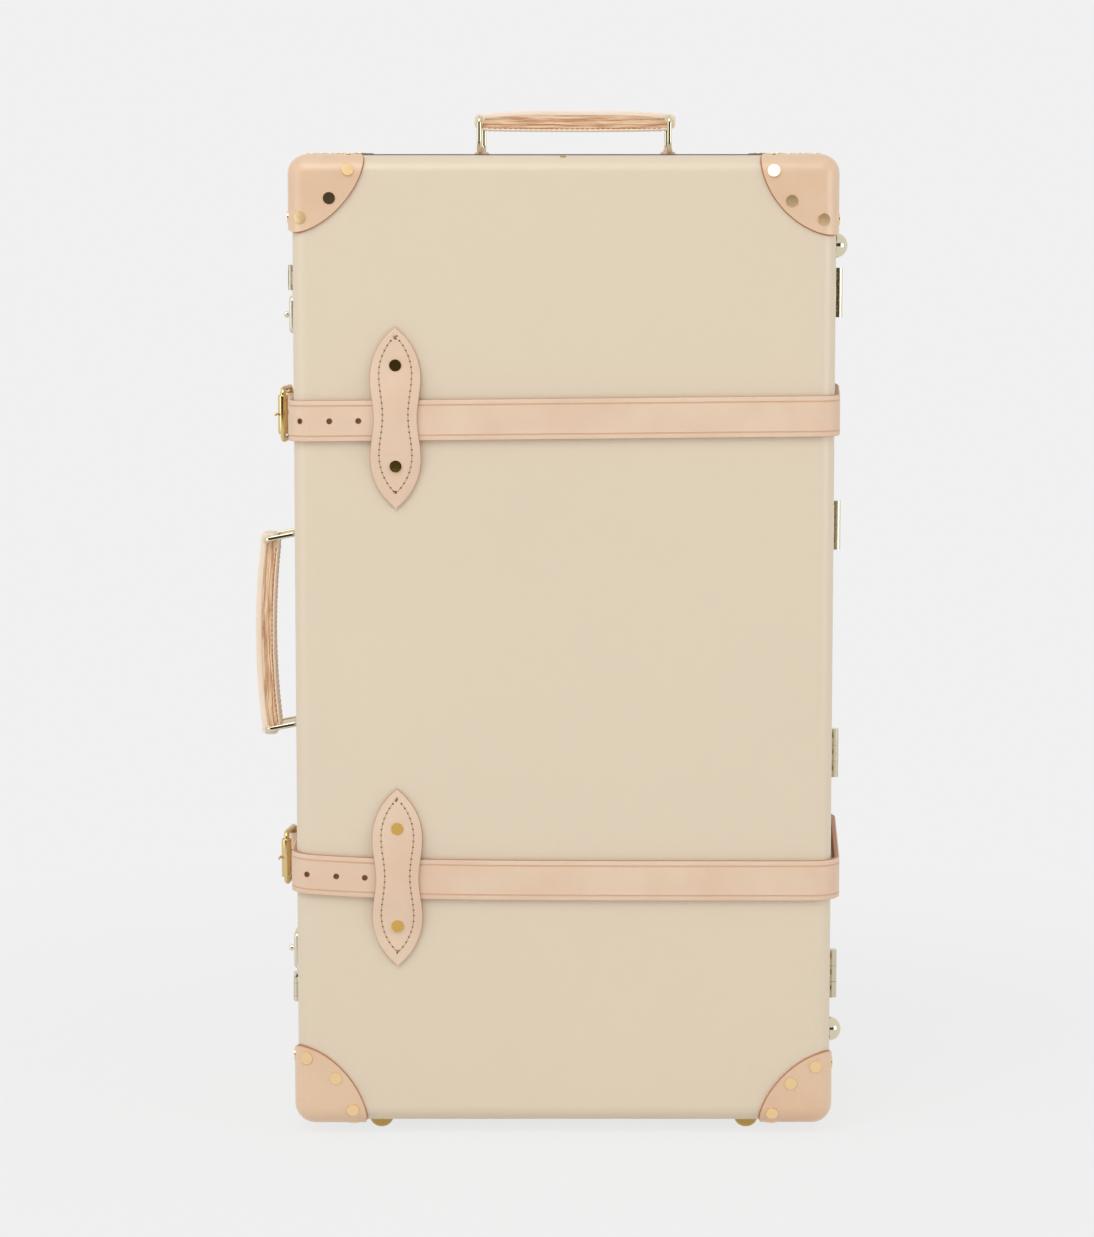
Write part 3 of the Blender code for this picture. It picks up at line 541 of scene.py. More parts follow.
class SuitcaseFinish(bpy.types.PropertyGroup):
    """Colours of the materials."""

    board: colour("Board", "Varnished board of the lid and the base", (0.745, 0.630, 0.478))
    # Board edge: the board's cut edge, darkened to paint the shade of the seam line between lid and base; it
    # also paints the shade inside the lock slots
    board_edge: colour("Board edge", "Cut edges of the board", (0.150, 0.105, 0.095))
    leather: colour("Leather", "Hide of the straps, keepers and handle mounts", (0.780, 0.594, 0.434))
    flush: colour("Leather flush", "Rosier tone that the hide drifts to", (0.737, 0.515, 0.368))
    cap: colour("Corner leather", "Hide of the corner caps", (0.774, 0.545, 0.363))
    cap_flush: colour("Corner flush", "Rosier tone of the corner caps", (0.735, 0.477, 0.305))
    # Cut edge: the hide's cut edges, darkened to paint the shadow line under the caps' rims and the straps'
    # edges; it also paints shade on a strap's inner face off the hinge side and in the punched holes
    edge: colour("Cut edge", "Cut edges of the hide", (0.480, 0.215, 0.105))
    # Crease: darker than the strap's hide, painting shade in the pressed grooves
    crease: colour("Crease", "Lines pressed along the straps' edges", (0.690, 0.440, 0.290))
    grip: colour("Grip leather", "Hide of the grips", (0.930, 0.800, 0.670))
    grip_flush: colour("Grip flush", "Rosier tone of the grips", (0.890, 0.720, 0.560))
    core: colour("Grip core", "Stacked layers inside the grips", (0.930, 0.690, 0.460))
    core_dark: colour("Grip core streaks", "Dark streaks in the stacked layers", (0.520, 0.240, 0.120))
    brass: colour("Brass", "Wire loops, side feet and lock buttons", (0.730, 0.660, 0.490))
    satin: colour("Satin brass", "Locks and hasps", (0.760, 0.700, 0.540))
    gold: colour("Rich brass", "Buckles and the hinges' rivets", (0.740, 0.560, 0.270))
    rivet: colour("Rivet brass", "Rivets of the corners", (0.925, 0.665, 0.355))
    stud: colour("Stud brass", "Studs of the keepers", (0.680, 0.430, 0.100))
    # Foot brass: darker than the other brass, painting the shade of the feet under the case; the lid's small
    # rivet shares it
    foot: colour("Foot brass", "Feet under the case and the small rivet of the lid", (0.470, 0.300, 0.080))
    hinge: colour("Hinge brass", "Hinges", (0.640, 0.580, 0.430))
    wood: colour("Wood", "Bent frame in the base", (0.620, 0.430, 0.250))
    cloth: colour("Lining", "Woven lining", (0.520, 0.430, 0.330))
    thread: colour("Thread", "Thread of the keepers", (0.580, 0.370, 0.230))
    # Stitch holes: near-black, painting the shade in the pricked holes of the stitching
    prick: colour("Stitch holes", "Pricked holes of the stitching", (0.085, 0.034, 0.015))


class SuitcaseSizes(bpy.types.PropertyGroup):
    """Sizes of the small work."""

    rivet: length("Rivet", "Diameter of a corner rivet's head", 0.0098)
    stud: length("Stud", "Diameter of a keeper stud's head", 0.0097)
    crease: length("Crease", "Distance of the crease line from a strap's edge", 0.0042)
    hole: length("Hole", "Diameter of a punched strap hole", 0.0048)
    hole_pitch: length("Hole pitch", "Distance between strap holes", 0.0231)
    stitch: length("Stitch", "Pitch of the keepers' stitching", 0.0047)
    grip_stitch: length("Grip stitch", "Pitch of the grips' stitching", 0.0042)
    upper_slack: length("Upper slack", "How far the upper strap stands off the hinge side", 0.0085)
    lower_slack: length("Lower slack", "How far the lower strap stands off the hinge side", 0.0143)


class SuitcaseStage(bpy.types.PropertyGroup):
    """Ground and light."""

    tone: level("Background", "Tone of the ground and the backdrop", 0.875, 1)
    room: level("Room light", "Strength of the light from all round", 0.62, 2)
    unlit: level("Unlit wall", "How dark the wall behind the camera shows in polished metal", 0.94, 1)
    glow: level("Ground glow", "Share of the ground's own tone near the case, the rest takes shadow", 0.88, 1)
    key: level("Key lamp", "Power of the large lamp above", 66.0, 1000)
    fill_left: level("Left fill lamp", "Power of the large lamp on the left", 9.5, 1000)
    fill_right: level("Right fill lamp", "Power of the large lamp on the right", 17.5, 1000)


finishes = {}


def finish_materials():
    """The materials, made once from the settings."""
    if finishes:
        return finishes
    look = bpy.context.scene.suitcase_finish
    finishes.update(
        board=board_material("board", look.board),
        # The board edge finish paints the seam's shade at the mouths and the shade inside the lock slots
        board_edge=board_material("board_edge", look.board_edge),
        leather=leather_material("leather", look.leather, look.flush),
        cap=leather_material("cap_leather", look.cap, look.cap_flush, 0.44, 0.75),
        # The cut edge finish is the hide's edge with painted shadow lines and painted shade
        edge=leather_material("leather_edge", look.edge, look.edge, 0.6),
        grip=leather_material("grip_leather", look.grip, look.grip_flush),
        flesh=leather_material("leather_flesh", look.grip, look.leather, 0.85, 0.0),
        core=core_material(look.core, look.core_dark),
        brass=brass_material("brass", look.brass, 0.10),
        wire=brass_material("wire_brass", look.brass, 0.05),
        satin=brass_material("satin_brass", look.satin, 0.36),
        gold=brass_material("rich_brass", look.gold, 0.14),
        # The crease finish paints shade in the straps' crease grooves
        crease=leather_material("leather_crease", look.crease, look.crease),
        rivet=brass_material("rivet_brass", look.rivet, 0.14),
        stud=brass_material("stud_brass", look.stud, 0.08),
        # The foot finish is brass darkened as painted shade
        foot=brass_material("foot_brass", look.foot, 0.12),
        hinge=brass_material("hinge_brass", look.hinge, 0.16),
        wood=wood_material(look.wood),
        cloth=cloth_material(look.cloth),
        thread=thread_material("thread", look.thread),
        # The stitch-hole finish is painted shade for the pricked holes
        prick=thread_material("stitch_hole", look.prick),
        # The grip gap finish paints the shade in the gap between a grip's core and its sole
        seam=thread_material("grip_seam", look.core_dark),
        pale_thread=thread_material("pale_thread", look.grip))
    return finishes


def paint(node, made, edge=0.0):
    """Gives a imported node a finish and, where asked, soft edges."""
    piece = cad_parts[node]
    piece.data.materials.clear()
    piece.data.materials.append(made)
    if edge:
        bevel = piece.modifiers.new("soft_edge", "BEVEL")
        bevel.width, bevel.segments, bevel.limit_method = edge, 2, "ANGLE"
        bevel.angle_limit, bevel.harden_normals = math.radians(40), True


# Pieces

class SUITCASE_OT_shells(bpy.types.Operator):
    """Lid and base of bent board, with lining and frame"""

    bl_idname = "suitcase.shells"
    bl_label = "Shells"

    def tray(self, panel, mouth, flare):
        """Open tray with round edges, its panel and its mouth at those depths, the mouth flared a little."""
        way = 1 if mouth > panel else -1
        steps, lip, radius = 10, 0.0006, EDGE_RADIUS - WALL

        def ring(move, depth, radius):
            low, high = (LID_LOW.x + move, BOTTOM + move), (LID_HIGH.x - move, TOP - move)
            return [(x, depth, z) for x, z in rounded(low, high, max(radius, 1e-5), None, steps)]

        inner = [
            ring(WALL + radius * (1 - math.cos(a)), panel + way * (WALL + radius * (1 - math.sin(a))),
                 radius * math.cos(a))
            for a in (math.pi / 8 * n for n in range(4, -1, -1))]
        edge = [ring(WALL - flare, mouth, radius)]
        for n in range(4):
            a = math.pi / 6 * n
            edge.append(ring(
                lip * (1 - math.sin(a)) - flare, mouth - way * lip * (1 - math.cos(a)), EDGE_RADIUS + flare))
        outer = [ring(0, mouth - way * 0.006, EDGE_RADIUS)]
        for n in range(steps + 1):
            a = math.pi / 2 * n / steps
            outer.append(ring(
                EDGE_RADIUS * (1 - math.cos(a)), panel + way * EDGE_RADIUS * (1 - math.sin(a)),
                EDGE_RADIUS * math.cos(a)))
        rows = [*inner, *edge, *outer]
        points, faces = grid(rows, closed_columns=True)
        count = len(rows[0])
        # The mouth's faces take the dark board edge: the board's cut edge with a painted shadow line along
        # the seam
        edge_and_shade_rows = range(len(inner), len(inner) + len(edge) - 1)
        numbers = [int(n // count in edge_and_shade_rows) for n in range(len(faces))]
        faces += [list(range(count)), list(range(len(points) - count, len(points)))]
        return points, faces, [*numbers, 0, 0]

    def execute(self, context):
        look = finish_materials()
        # The base's mouth flares a little so that its darkened edge shows past the lid as a painted shadow
        # line along the seam
        for name, panel, mouth, flare in (("lid", FRONT, LID_MOUTH, 0.0), ("base", BACK, BASE_MOUTH, 0.0009)):
            shape = Shape().add(self.tray(panel, mouth, flare))
            show(f"{name}_board", shape, [look["board"], look["board_edge"]], name,
                 [f"{name}_shell"], 40, True)
            paint(f"{name}_lining", look["cloth"])
        paint("base_frame", look["wood"], 0.0006)
        lean, aside, sink, head = math.radians(17), 0.0009, 0.0005, 0.0025
        out = Vector((0, -math.sin(lean), math.cos(lean)))
        centre = Vector((MIDDLE_X - aside, FRONT + EDGE_RADIUS, TOP - EDGE_RADIUS))
        seat = facing(centre + out * (EDGE_RADIUS - sink), out, (0, 1, 0))
        show("lid_rivet", Shape().add(rivet(head), seat), [look["foot"]], "lid", (), 50)
        return {"FINISHED"}


class SUITCASE_OT_corners(bpy.types.Operator):
    """Leather corner caps, wet-moulded, with three rivets on each face"""

    bl_idname = "suitcase.corners"
    bl_label = "Corners"

    # For each corner: its cap's reach and thickness along width, depth and height, and its rim's roundness
    CAPS = {
        ("top", "left"): ((0.0590, 0.0590, 0.0622), (0.0032, 0.0020, 0.0011), 1.62),
        ("top", "right"): ((0.0620, 0.0590, 0.0640), (0.0020, 0.0020, 0.0011), 1.80),
        ("bottom", "left"): ((0.0575, 0.0590, 0.0650), (0.0027, 0.0020, 0.0024), 1.66),
        ("bottom", "right"): ((0.0590, 0.0590, 0.0602), (0.0018, 0.0020, 0.0022), 1.62)}
    # The base's upper caps are this thin on top, so that the lid's hide them from the front
    BASE_TOP = 0.0004
    # How deep the rivets sink on the panel and on the other faces, and how far in the others keep at least
    PANEL_SINK, OTHER_SINK, OTHER_IN = 0.0002, 0.0005, EDGE_RADIUS + 0.0006
    # Rivets on the panel: distance in from the side, distance from the end, lean down and turn in degrees
    RIVETS = {
        ("top", "left"): (
            (0.0449, 0.0112, -4.5, 4.5), (0.0301, 0.0333, 0.0, 0.0), (0.0078, 0.0487, 0.0, 5.3)),
        ("top", "right"): (
            (0.0507, 0.0120, -10.0, -5.0), (0.0363, 0.0356, 3.6, 0.0), (0.0112, 0.0502, 3.6, 0.0)),
        ("bottom", "left"): (
            (0.0448, 0.0114, 0.0, 0.0), (0.0311, 0.0372, 0.6, 0.0), (0.0084, 0.0538, 0.6, 5.0)),
        ("bottom", "right"): (
            (0.0471, 0.0089, 0.0, 0.0), (0.0322, 0.0330, 0.6, 0.0), (0.0124, 0.0471, 0.6, 0.0))}

    def surface(self, way):
        """Point and normal where a line from inside the corner leaves the round-edged box at the origin."""
        start = Vector((0.030, 0.030, 0.030))
        low, high = 0.0, 0.2
        for _ in range(40):
            reach = (low + high) / 2
            point = start + reach * way
            near = Vector(max(EDGE_RADIUS - axis, 0.0) for axis in point)
            if near.length > EDGE_RADIUS:
                high = reach
            else:
                low = reach
        point = start + low * way
        near = Vector(max(EDGE_RADIUS - axis, 0.0) for axis in point)
        return point, -near.normalized()

    def cap(self, reach, thickness, power):
        """Mesh from the crown to the rim, about a corner at the origin with the case on the plus side."""
        crown = -Vector((1, 1, 1)).normalized()
        first = Vector((1, -1, 0)).normalized()
        second = crown.cross(first)
        around, rings = 96, 26
        rows = [[] for _ in range(rings + 5)]

        def thick(normal):
            return sum(thickness[axis] * normal[axis] ** 2 for axis in range(3))

        for n in range(around):
            angle = 2 * math.pi * n / around
            aside = math.cos(angle) * first + math.sin(angle) * second
            low, high = 0.0, math.radians(140)
            for _ in range(30):
                lean = (low + high) / 2
                point, _normal = self.surface(math.cos(lean) * crown + math.sin(lean) * aside)
                if sum(abs(point[axis] / reach[axis]) ** power for axis in range(3)) > 1:
                    high = lean
                else:
                    low = lean
            for ring in range(rings):
                lean = low * (0.004 + 0.984 * ring / (rings - 1))
                point, normal = self.surface(math.cos(lean) * crown + math.sin(lean) * aside)
                rows[ring].append(point + normal * (SEAT + thick(normal)))
            point, normal = self.surface(math.cos(low) * crown + math.sin(low) * aside)
            inward = (rows[rings - 1][-1] - rows[rings - 2][-1]).normalized()
            deep = thick(normal)
            rim = (
                (0.0, 0.0001), (0.0004, 0.0004), (0.0010, deep * 0.55),
                (0.0016, deep), (0.0012, deep + 0.0002))
            edge = point - inward * 0.0014
            for step, (out, drop) in enumerate(rim):
                rows[rings + step].append(edge + inward * out + normal * (SEAT + deep - drop))
        points, faces = grid(rows, closed_columns=True)
        # The rim's band at the cap's outline takes the cut edge finish: the cap's cut edge with a painted
        # shadow line below it
        numbers = [int(n >= around * rings) for n in range(len(faces))]
        return points, faces, numbers

    def seat(self, axis, spot, thickness, sink):
        """Point and normal on the cap's face across one axis, at a spot along the other two."""
        near = [max(EDGE_RADIUS - place, 0.0) for place in spot]
        deep = math.sqrt(EDGE_RADIUS ** 2 - near[0] ** 2 - near[1] ** 2)
        spot, near = list(spot), list(near)
        spot.insert(axis, EDGE_RADIUS - deep)
        near.insert(axis, deep)
        normal = -Vector(near).normalized()
        thick = sum(thickness[n] * normal[n] ** 2 for n in range(3))
        return Vector(spot) + normal * (SEAT + thick - sink), normal

    def execute(self, context):
        look, sizes = finish_materials(), context.scene.suitcase_sizes
        dice = random.Random(4)
        head = rivet(sizes.rivet / 2)
        for part, panel, deep in (("lid", FRONT, 1), ("base", BACK, -1)):
            for level, height, up in (("bottom", BOTTOM, 1), ("top", TOP, -1)):
                for side, x, inward in (("left", LID_LOW.x, 1), ("right", LID_HIGH.x, -1)):
                    place = Matrix.Translation((x, panel, height)) @ Matrix.Diagonal((inward, deep, up, 1))
                    name = f"{part}_corner_{level}_{side}"
                    reach, thickness, power = self.CAPS[level, side]
                    if part == "base" and level == "top":
                        thickness = (*thickness[:2], self.BASE_TOP)
                    shape = Shape().add(self.cap(reach, thickness, power), place)
                    show(f"{name}_cap", shape, [look["cap"], look["edge"]], part, [name], 60)
                    rivets = Shape()
                    for axis in range(3):
                        for across, along, lean, turn in self.RIVETS[level, side]:
                            if axis == 1 and part == "lid":
                                spot, out = self.seat(axis, (across, along), thickness, self.PANEL_SINK)
                                lean, turn = math.radians(lean), math.radians(turn)
                                tilt = Matrix.Rotation(lean, 4, "X") @ Matrix.Rotation(turn, 4, "Y")
                            else:
                                flat = (max(across, self.OTHER_IN), max(along, self.OTHER_IN))
                                spot, out = self.seat(axis, flat, thickness, self.OTHER_SINK)
                                tilt = tilted(1.2, dice)
                            rivets.add(head, facing(place @ spot, place.to_3x3() @ out) @ tilt)
                    show(f"{name}_rivets", rivets, [look["rivet"]], part, (), 50)
        return {"FINISHED"}


class SUITCASE_OT_feet(bpy.types.Operator):
    """Domed brass feet under the case and on its hinge side"""

    bl_idname = "suitcase.feet"
    bl_label = "Feet"

    def execute(self, context):
        look = finish_materials()
        radius, tall, rim = 0.0098, 0.0101, 0.0012
        dome = [
            (radius * math.cos(a), rim + (tall - rim) * math.sin(a))
            for a in (math.pi / 24 * n for n in range(12))]
        profile = [(radius * 0.96, 0.0), (radius, 0.0004), *dome, (0, tall)]
        for part in ("lid", "base"):
            for which in ("foot_left", "foot_right", "side_foot_upper", "side_foot_lower"):
                name = f"{part}_{which}"
                low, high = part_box(name)
                middle = (low + high) / 2
                if "side" in which:
                    metal = look["wire"]
                    place = facing((high.x - tall, middle.y, middle.z), (1, 0, 0))
                else:
                    # The feet under the case take the darkened foot brass as painted shade; the side feet
                    # keep the plain wire brass
                    metal = look["foot"]
                    place = facing((middle.x, middle.y, low.z + tall), (0, 0, -1), (0, 1, 0))
                shape = Shape().add(turned(profile, 48), place)
                show(f"{name}_dome", shape, [metal], part, [name], 40)
        return {"FINISHED"}


class SUITCASE_OT_hinges(bpy.types.Operator):
    """Four butt hinges on the right wall, riveted"""

    bl_idname = "suitcase.hinges"
    bl_label = "Hinges"

    # Rivets: distance in from the leaf's edge, step between them, height of their seat and the head's radius
    RIVET_IN, RIVET_STEP, RIVET_OUT, RIVET_HEAD = 0.0055, 0.0135, 0.0016, 0.0024

    def execute(self, context):
        look = finish_materials()
        dice = random.Random(9)
        for number in range(1, 5):
            for part in ("base", "lid"):
                name = f"hinge_{number}_{part}_leaf"
                paint(name, look["hinge"], 0.0004)
                low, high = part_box(name)
                y = high.y - self.RIVET_IN if part == "base" else low.y + self.RIVET_IN
                heads = Shape()
                for step in (-self.RIVET_STEP, 0.0, self.RIVET_STEP):
                    at = (LID_HIGH.x + SEAT + self.RIVET_OUT, y, (low.z + high.z) / 2 + step)
                    heads.add(rivet(self.RIVET_HEAD), facing(at, (1, 0, 0)) @ tilted(2, dice))
                show(f"{name}_rivets", heads, [look["gold"]], part, (), 50)
        return {"FINISHED"}


class SUITCASE_OT_handles(bpy.types.Operator):
    """Top and side handles: leather mounts, wire loops, stitched grips"""

    bl_idname = "suitcase.handles"
    bl_label = "Handles"

    # Grips: half length to the loops and tip beyond them, heights at the end and the crown, power of the
    # crown's curve, the underside's height and its bow, thickness of the skin and the sole
    SHAPES = {
        "top": {
            "half": 0.0765, "tip": 0.0056, "end": 0.0032, "crown": 0.0057, "power": 4,
            "low": -0.0105, "bow": -0.0008, "skin": 0.0043, "sole": 0.0021},
        "side": {
            "half": 0.07925, "tip": 0.0046, "end": 0.0046, "crown": 0.0090, "power": 2,
            "low": -0.0113, "bow": 0.0048, "skin": 0.0052, "sole": 0.0017}}
    # Half widths of the grip's skin, core and sole
    SKIN_HALF, CORE_HALF, SOLE_HALF = 0.0140, 0.0134, 0.0139
    # The loops: their bars' distance from the wall, their length and half width, and their wire's radius
    PIVOT_OUT, LENGTH, LOOP_HALF, WIRE = 0.0031, 0.0272, 0.018, 0.0020
    # Turn of the top loops in degrees, and how much the side loops' wire is flattened: 2 is round
    TWIST = {"left": -5.5, "right": 2.0}
    SQUARE = {"top": 2.0, "side": 4.5}
    # Height of the loops' bars above a grip's underside
    BELOW = 0.0115

    def outlines(self, half, tip, end, crown, power, low, bow, skin, sole):
        """Outlines of the grip's skin, core and sole, in length and height about the loops' bars."""
        shoulder, inner, length = half - 0.004, half - 0.005, half - 0.001
        span = [n / 16 - 1 for n in range(33)]

        def top(x):
            return end + (crown - end) * (1 - x ** power)

        def under(x):
            return low + bow * (1 - x * x)

        turn = [
            (half - 0.0004, -0.0088), (half + tip - 0.0022, -0.0088), (half + tip - 0.0006, -0.0076),
            (half + tip, -0.0050), *((half + x * tip, z * end) for x, z in arc((0, 0), 1, -10, 80, 10))]
        hem = [(half - 0.0036, -0.0006), (half - 0.0018, -0.0036)]
        upper = [
            *turn, *((-x * shoulder, top(x)) for x in span), *((-x, z) for x, z in reversed(turn)),
            *((-x, z) for x, z in reversed(hem)), *((x * inner, top(x) - skin) for x in span), *hem]
        core = [
            *((-x * length, top(x) - skin + 0.0003) for x in span),
            *((x * length, under(x) + sole) for x in span)]
        lower = [*((-x * length, under(x) + sole) for x in span), *((x * length, under(x)) for x in span)]
        return upper, core, lower, under, length

    def grip(self, name, place, body, look, pitch):
        """The grip's layers and stitching, about a frame whose X runs along it and whose Z faces out."""
        half = self.SHAPES[name]["half"]
        upper, core, lower, under, length = self.outlines(**self.SHAPES[name])
        upright = place @ Matrix.Rotation(math.pi / 2, 4, "X")
        grip = f"{name}_handle_grip"
        shape = Shape().add(slab(upper, -self.SKIN_HALF, self.SKIN_HALF, 0.0011), upright)
        show(f"{grip}_skin", shape, [look["grip"]], body, [grip], 50)
        shape = Shape().add(slab(core, -self.CORE_HALF, self.CORE_HALF, 0.0004, 1), upright)
        layered = show(f"{grip}_core", shape, [look["core"]], body, (), 30)
        # The core's streaks: their length and height on the map, and their shift from one side to the other
        streak_long, streak_high, shift = 0.02, 0.012, 0.15
        ways = layered.data.uv_layers.new(name="layers")
        back = place.inverted()
        for loop in layered.data.loops:
            point = back @ layered.data.vertices[loop.vertex_index].co
            level = (point.z - under(point.x / half)) / streak_high
            ways.data[loop.index].uv = (point.x / streak_long, level + shift * (point.y > 0))
        shape = Shape().add(slab(lower, -self.SOLE_HALF, self.SOLE_HALF, 0.0009), upright)
        show(f"{grip}_sole", shape, [look["grip"]], body, (), 50)
        stitches, gap_shades = Shape(), Shape()
        first = 0.004 - length
        count = round(-2 * first / pitch)
        for side in (-1, 1):
            for n in range(count):
                x = first + pitch * (n + 0.5)
                z = under(x / half)
                y, reach = side * 0.0127, pitch * 0.34
                run = [(x - reach, y, z + 0.0002), (x, y, z), (x + reach, y, z + 0.0002)]
                stitches.add(tube(run, 0.00060, 8), place)
                # Dark dashes on the core's side, just above the sole, paint the shade of the gap between the
                # layers
                y, reach = side * self.CORE_HALF, pitch * 0.26
                run = [(x - reach, y, z + 0.0021), (x + reach, y, z + 0.0021)]
                gap_shades.add(tube(run, 0.00050, 8), place)
        show(f"{grip}_stitches", stitches, [look["pale_thread"]], body, (), 60)
        show(f"{grip}_gaps", gap_shades, [look["seam"]], body, (), 60)

    def mount(self):
        """Leather eye folded over a bar, on a flat foot."""
        out, eye, foot = self.PIVOT_OUT, 0.0034, 0.0018
        swell = arc((0, out), eye, -12, 192, 22)
        side = [
            (0.0060, SEAT), (0.0060, foot - 0.0008), (0.0055, foot - 0.0001), (0.0049, foot + 0.0006), *swell,
            (-0.0049, foot + 0.0006), (-0.0055, foot - 0.0001), (-0.0060, foot - 0.0008), (-0.0060, SEAT)]
        return slab(side, -0.0130, 0.0130, 0.0006)

    def loop(self, square):
        """Wire ring, its inner bar at the origin, its length along Z, its flat sides leaned a little."""
        outline = rounded((0, -self.LOOP_HALF), (self.LENGTH, self.LOOP_HALF), 0.0045, None, 7)
        return tube([(0, y, z) for z, y in outline], self.WIRE, 32, True, 1.0, (1, -0.14, 0), square)

    def execute(self, context):
        look, sizes = finish_materials(), context.scene.suitcase_sizes
        mount, loops = self.mount(), {name: self.loop(square) for name, square in self.SQUARE.items()}
        upright = Matrix.Rotation(math.pi / 2, 4, "X")
        for name, ends, turn in (("top", ("left", "right"), 0.0), ("side", ("lower", "upper"), -math.pi / 2)):
            turned_out = Matrix.Rotation(turn, 4, "Y")
            for end in ends:
                low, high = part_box(f"{name}_handle_mount_{end}")
                middle = (low + high) / 2
                if name == "top":
                    wall = Vector((middle.x, middle.y, TOP))
                else:
                    wall = Vector((LID_LOW.x, middle.y, middle.z))
                shape = Shape().add(mount, Matrix.Translation(wall) @ turned_out @ upright)
                show(f"{name}_mount_{end}", shape, [look["leather"]], "base",
                     [f"{name}_handle_mount_{end}"], 50)
                pivot = wall + turned_out.to_3x3() @ Vector((0, 0, self.PIVOT_OUT))
                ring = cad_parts[f"{name}_handle_loop_{end}"]
                lean = sum((v.co for v in ring.data.vertices), Vector()) / len(ring.data.vertices) - pivot
                swing = Matrix.Rotation(math.atan2(lean.x, lean.z), 4, "Y")
                twist = Matrix.Rotation(math.radians(self.TWIST.get(end, 0.0)), 4, "Z")
                shape = Shape().add(loops[name], Matrix.Translation(pivot) @ swing @ twist)
                show(f"{name}_loop_{end}", shape, [look["wire"]], f"{name}_{end}_loop",
                     [f"{name}_handle_loop_{end}"], 60)
            low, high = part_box(f"{name}_handle_grip")
            middle = (low + high) / 2
            if name == "top":
                middle.z = low.z + self.BELOW
            else:
                middle.x = high.x - self.BELOW
            self.grip(name, Matrix.Translation(middle) @ turned_out, f"{name}_grip", look, sizes.grip_stitch)
        return {"FINISHED"}


